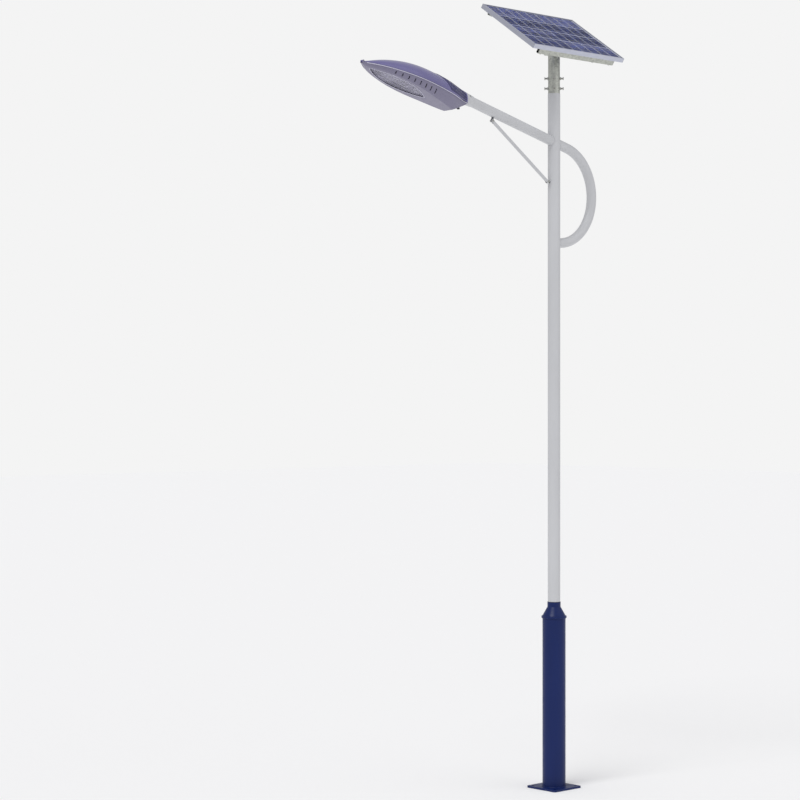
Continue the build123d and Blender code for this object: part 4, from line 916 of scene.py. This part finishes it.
class LAMP_OT_cover(bpy.types.Operator):
    """Domed top cover with the ribbed pad at its back"""
    bl_idname = "lamp.cover"
    bl_label = "Top cover"
    bl_options = {"REGISTER", "UNDO"}

    def execute(self, context):
        dress({gloss_violet_enamel: ["top_cover"]})
        shell = surface_of("top_cover")
        front, back = -380 * MM, -6 * MM
        rows, columns = 60, 8 * sizes().rib_count + 1
        verts, raised = [], []
        for r in range(rows):
            share = r / (rows - 1)
            x = front + share * (back - front)
            spread = math.radians(min(88, 24 + 170 * share))
            for c in range(columns):
                across = 2 * c / (columns - 1) - 1
                lean = spread * across
                start = HEAD @ Vector((x, 0, 9 * MM))
                ray = HEAD.to_3x3() @ Vector((0, math.sin(lean), math.cos(lean)))
                hit, normal, _, _ = shell.ray_cast(start + ray * 0.4, -ray)
                if hit is None:
                    raise RuntimeError("the cover's back was not found")
                if normal.dot(ray) < 0:
                    normal = -normal
                rib = 0.5 - 0.5 * math.cos(2 * math.pi * c / 8)
                ends = min(1, (rows - 1 - r) / 3, r / 5, (columns - 1 - c) / 2, c / 2)
                lift = (1.0 * MM + sizes().rib_height * rib ** 2) * max(0, ends) - 0.3 * MM
                raised.append(hit + normal * lift)
                verts.append(hit - normal * 1.0 * MM)
        faces = grid_faces(rows, columns)
        count = len(verts)
        outer = [f[::-1] for f in faces] + [[count + i for i in f] for f in faces]
        rim = ([c for c in range(columns)] + [r * columns + columns - 1 for r in range(1, rows)]
               + [(rows - 1) * columns + c for c in range(columns - 2, -1, -1)]
               + [r * columns for r in range(rows - 2, 0, -1)])
        walls = [[a, b, count + b, count + a] for a, b in zip(rim, rim[1:] + rim[:1])]
        # the rib pad wears the darker enamel as painted shade on the cover's back
        piece("cover_rib_pad", verts + raised, outer + walls, painted_shade_violet_enamel,
              "head_cover", "blue_cover", 60)
        return {"FINISHED"}


class LAMP_OT_latch(bpy.types.Operator):
    """Turn knob under the head's back that holds the cover shut"""
    bl_idname = "lamp.latch"
    bl_label = "Cover latch"
    bl_options = {"REGISTER", "UNDO"}

    def execute(self, context):
        dress({black_enamelled_steel: ["latch_knob"]})
        latch = JOINTS["latch_turn"]
        axis = Vector(latch["axis"])
        centre = Vector(latch["pos_m"])
        reach = max((v.co - centre).dot(axis) for v in frame["nodes"]["latch_knob"].data.vertices)
        bar = pad(8 * MM, 1.6 * MM, 2.2 * MM, 0.8 * MM)
        piece("latch_grip", *moved(bar, facing(centre + axis * (reach - 0.2 * MM), axis)),
              black_enamelled_steel, "cover_latch", "dark_bracket")
        return {"FINISHED"}


class LAMP_OT_mount(bpy.types.Operator):
    """Sleeve on the pole's top with its set bolts, and the tilt bracket"""
    bl_idname = "lamp.mount"
    bl_label = "Panel mount"
    bl_options = {"REGISTER", "UNDO"}

    def execute(self, context):
        dress({hot_dip_galvanised_steel: ["panel_sleeve", "tilt_yoke"],
               zinc_plated_steel: ["sleeve_nuts", "sleeve_set_bolts", "tilt_pivot_bolts"]})
        threads = []
        for height in (40, 118):
            for quarter in range(4):
                turn = math.radians(45 + 90 * quarter)
                outward = Vector((math.cos(turn), math.sin(turn), 0))
                place = facing(Vector((0, 0, SLEEVE_FOOT + height * MM)), outward)
                threads.append(moved(thread(6 * MM, sizes().pitch, SLEEVE_RADIUS + 9.5 * MM,
                                            SLEEVE_RADIUS + 21 * MM), place))
        piece("set_bolt_threads", *joined(threads), zinc_plated_steel,
              "panel_mast", "fastener_steel")
        weld = sizes().weld
        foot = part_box("tilt_yoke")[0].z
        seam = bead(ring_points(SLEEVE_RADIUS, foot), weld, closed=True, ripple=weld_ripple(30))
        piece("sleeve_weld", *seam, hot_dip_galvanised_steel, "panel_mast", "galvanised_steel")
        return {"FINISHED"}


class LAMP_OT_panel(bpy.types.Operator):
    """Solar panel with its cells, frame, rails, ears and junction box"""
    bl_idname = "lamp.panel"
    bl_label = "Solar panel"
    bl_options = {"REGISTER", "UNDO"}

    def execute(self, context):
        dress({anodised_aluminium: ["frame_long_sides", "frame_short_sides"],
               hot_dip_galvanised_steel: ["mounting_rails", "cross_beams", "tilt_ears"],
               zinc_plated_steel: ["tilt_lock_bolts"], low_iron_glass: ["panel_glass"],
               polycrystalline_silicon: ["solar_cells"], white_backsheet: ["panel_backsheet"],
               black_abs: ["junction_box", "junction_box_lid", "junction_box_glands"]})
        half_width = sizes().busbar / 2
        height = CELL_TOP - 0.1 * MM
        strips = []
        for row in range(CELL_ROWS):
            for offset in (-39 * MM, 39 * MM):
                y = centred(row, CELL_ROWS, CELL_ROW_PITCH) + offset
                strip = pad(CELLS_HALF_LENGTH, half_width, 0.4 * MM, 0.15 * MM)
                strips.append(moved(strip, PANEL @ Matrix.Translation((0, y, height))))
        film = sizes().gap_film / 2
        films = []
        for gap in range(CELL_COLUMNS - 1):
            place = Matrix.Translation((centred(gap, CELL_COLUMNS - 1, CELL_PITCH), 0, height))
            films.append(moved(pad(film, CELLS_HALF_WIDTH, 0.3 * MM, 0.1 * MM), PANEL @ place))
        for gap in range(CELL_ROWS - 1):
            place = Matrix.Translation((0, centred(gap, CELL_ROWS - 1, CELL_ROW_PITCH), height))
            films.append(moved(pad(CELLS_HALF_LENGTH, film, 0.3 * MM, 0.1 * MM), PANEL @ place))
        piece("cell_gap_films", *joined(films), white_backsheet, "solar_panel", "backsheet")
        piece("cell_busbars", *joined(strips), tinned_copper, "solar_panel", "panel_frame")
        bolts = []
        rings = []
        for side in (-1, 1):
            y = side * (PANEL_HALF_WIDTH - 20.5 * MM)
            for x in (-390, -200, 200, 390):
                foot = PANEL @ Matrix.Translation((x * MM, y, -40 * MM)) @ Matrix.Rotation(math.pi, 4, "X")
                rings.append(moved(washer(4.3 * MM, 8.5 * MM, 1.3 * MM), foot))
                seat = foot @ Matrix.Translation((0, 0, 1.3 * MM))
                bolts.append(moved(hex_head(13 * MM, 5.5 * MM, 0.8 * MM), seat))
        piece("rail_bolts", *joined(bolts + rings), zinc_plated_steel,
              "solar_panel", "fastener_steel")
        seams = []
        for sx in (-1, 1):
            for sy in (-1, 1):
                lip = 11 * MM
                inner = Vector((sx * (PANEL_HALF_LENGTH - lip), sy * (PANEL_HALF_WIDTH - lip), PANEL_DEPTH))
                outer = Vector((sx * PANEL_HALF_LENGTH, sy * PANEL_HALF_WIDTH, PANEL_DEPTH))
                foot = Vector((sx * PANEL_HALF_LENGTH, sy * PANEL_HALF_WIDTH, 0))
                seams.append(bead([PANEL @ inner, PANEL @ outer, PANEL @ foot], 0.35 * MM, sides=5))
        piece("frame_mitre_seams", *joined(seams), epdm_rubber, "solar_panel", "panel_frame")
        return {"FINISHED"}


class LAMP_OT_stage(bpy.types.Operator):
    """Plain pale floor, soft studio light and the camera"""
    bl_idname = "lamp.stage"
    bl_label = "Stage"
    bl_options = {"REGISTER", "UNDO"}

    def execute(self, context):
        scene = bpy.context.scene
        reach = 60.0
        mesh = bpy.data.meshes.new("floor")
        mesh.from_pydata([(-reach, -reach, 0), (reach, -reach, 0), (reach, reach, 0), (-reach, reach, 0)],
                         [], [(0, 1, 2, 3)])
        floor = bpy.data.objects.new("floor", mesh)
        scene.collection.objects.link(floor)
        mesh.materials.append(finish_of(matt_floor_paint))

        world = bpy.data.worlds.new("studio")
        world.use_nodes = True
        scene.world = world
        tree = world.node_tree
        tree.nodes.clear()
        seen = add(tree, "Background", {"Color": rgba(colours().backdrop), "Strength": 1.0})
        soft = add(tree, "Background", {"Color": rgba(linear("#F4F4F6")), "Strength": 0.62})
        ray = add(tree, "LightPath").outputs["Is Camera Ray"]
        mix = add(tree, "MixShader", {0: ray, 1: soft.outputs[0], 2: seen.outputs[0]})
        add(tree, "OutputWorld", {"Surface": mix.outputs[0]})

        suns = (("key", 1.15, 28, 52, -75), ("fill", 0.35, 60, 30, 20))
        for name, strength, spread, elevation, azimuth in suns:
            lamp = bpy.data.lights.new(name, "SUN")
            lamp.energy = strength
            lamp.angle = math.radians(spread)
            holder = bpy.data.objects.new(name, lamp)
            scene.collection.objects.link(holder)
            up, round_ = math.radians(elevation), math.radians(azimuth)
            source = Vector((math.sin(round_) * math.cos(up), -math.cos(round_) * math.cos(up), math.sin(up)))
            holder.rotation_euler = source.to_track_quat("Z", "Y").to_euler()

        scene.view_settings.view_transform = "Standard"
        azimuth = math.radians(CAMERA_TURN)
        forward = Vector((-math.sin(azimuth), math.cos(azimuth), 0))
        right = Vector((forward.y, -forward.x, 0))
        camera = bpy.data.objects.new("camera", bpy.data.cameras.new("camera"))
        camera.data.lens = CAMERA_LENS
        camera.data.clip_end = 200
        camera.location = -forward * CAMERA_REACH - right * CAMERA_SHIFT + Vector((0, 0, CAMERA_HEIGHT))
        camera.rotation_euler = (-forward).to_track_quat("Z", "Y").to_euler()
        scene.collection.objects.link(camera)
        scene.camera = camera
        return {"FINISHED"}


PIECES = (LAMP_OT_post, LAMP_OT_pole, LAMP_OT_arm, LAMP_OT_brace, LAMP_OT_hatch, LAMP_OT_power,
          LAMP_OT_housing, LAMP_OT_light, LAMP_OT_cover, LAMP_OT_latch, LAMP_OT_mount, LAMP_OT_panel,
          LAMP_OT_stage)


class LAMP_PT_sidebar(bpy.types.Panel):
    bl_label = "Solar street lamp"
    bl_idname = "LAMP_PT_sidebar"
    bl_space_type = "VIEW_3D"
    bl_region_type = "UI"
    bl_category = "Lamp"

    def draw(self, context):
        for group in (context.scene.lamp_colours, context.scene.lamp_sizes):
            for name in group.__annotations__:
                self.layout.prop(group, name)
        for operator in PIECES:
            self.layout.operator(operator.bl_idname)


CLASSES = (LampColours, LampSizes, *PIECES, LAMP_PT_sidebar)


def register():
    for each in CLASSES:
        bpy.utils.register_class(each)
    bpy.types.Scene.lamp_colours = bpy.props.PointerProperty(type=LampColours)
    bpy.types.Scene.lamp_sizes = bpy.props.PointerProperty(type=LampSizes)


def unregister():
    del bpy.types.Scene.lamp_colours
    del bpy.types.Scene.lamp_sizes
    for each in reversed(CLASSES):
        bpy.utils.unregister_class(each)


def main():
    register()
    for operator in PIECES:
        name = operator.bl_idname.split(".")[1]
        getattr(bpy.ops.lamp, name)()
    bpy.context.view_layer.update()


if __name__ == "__main__":
    main()
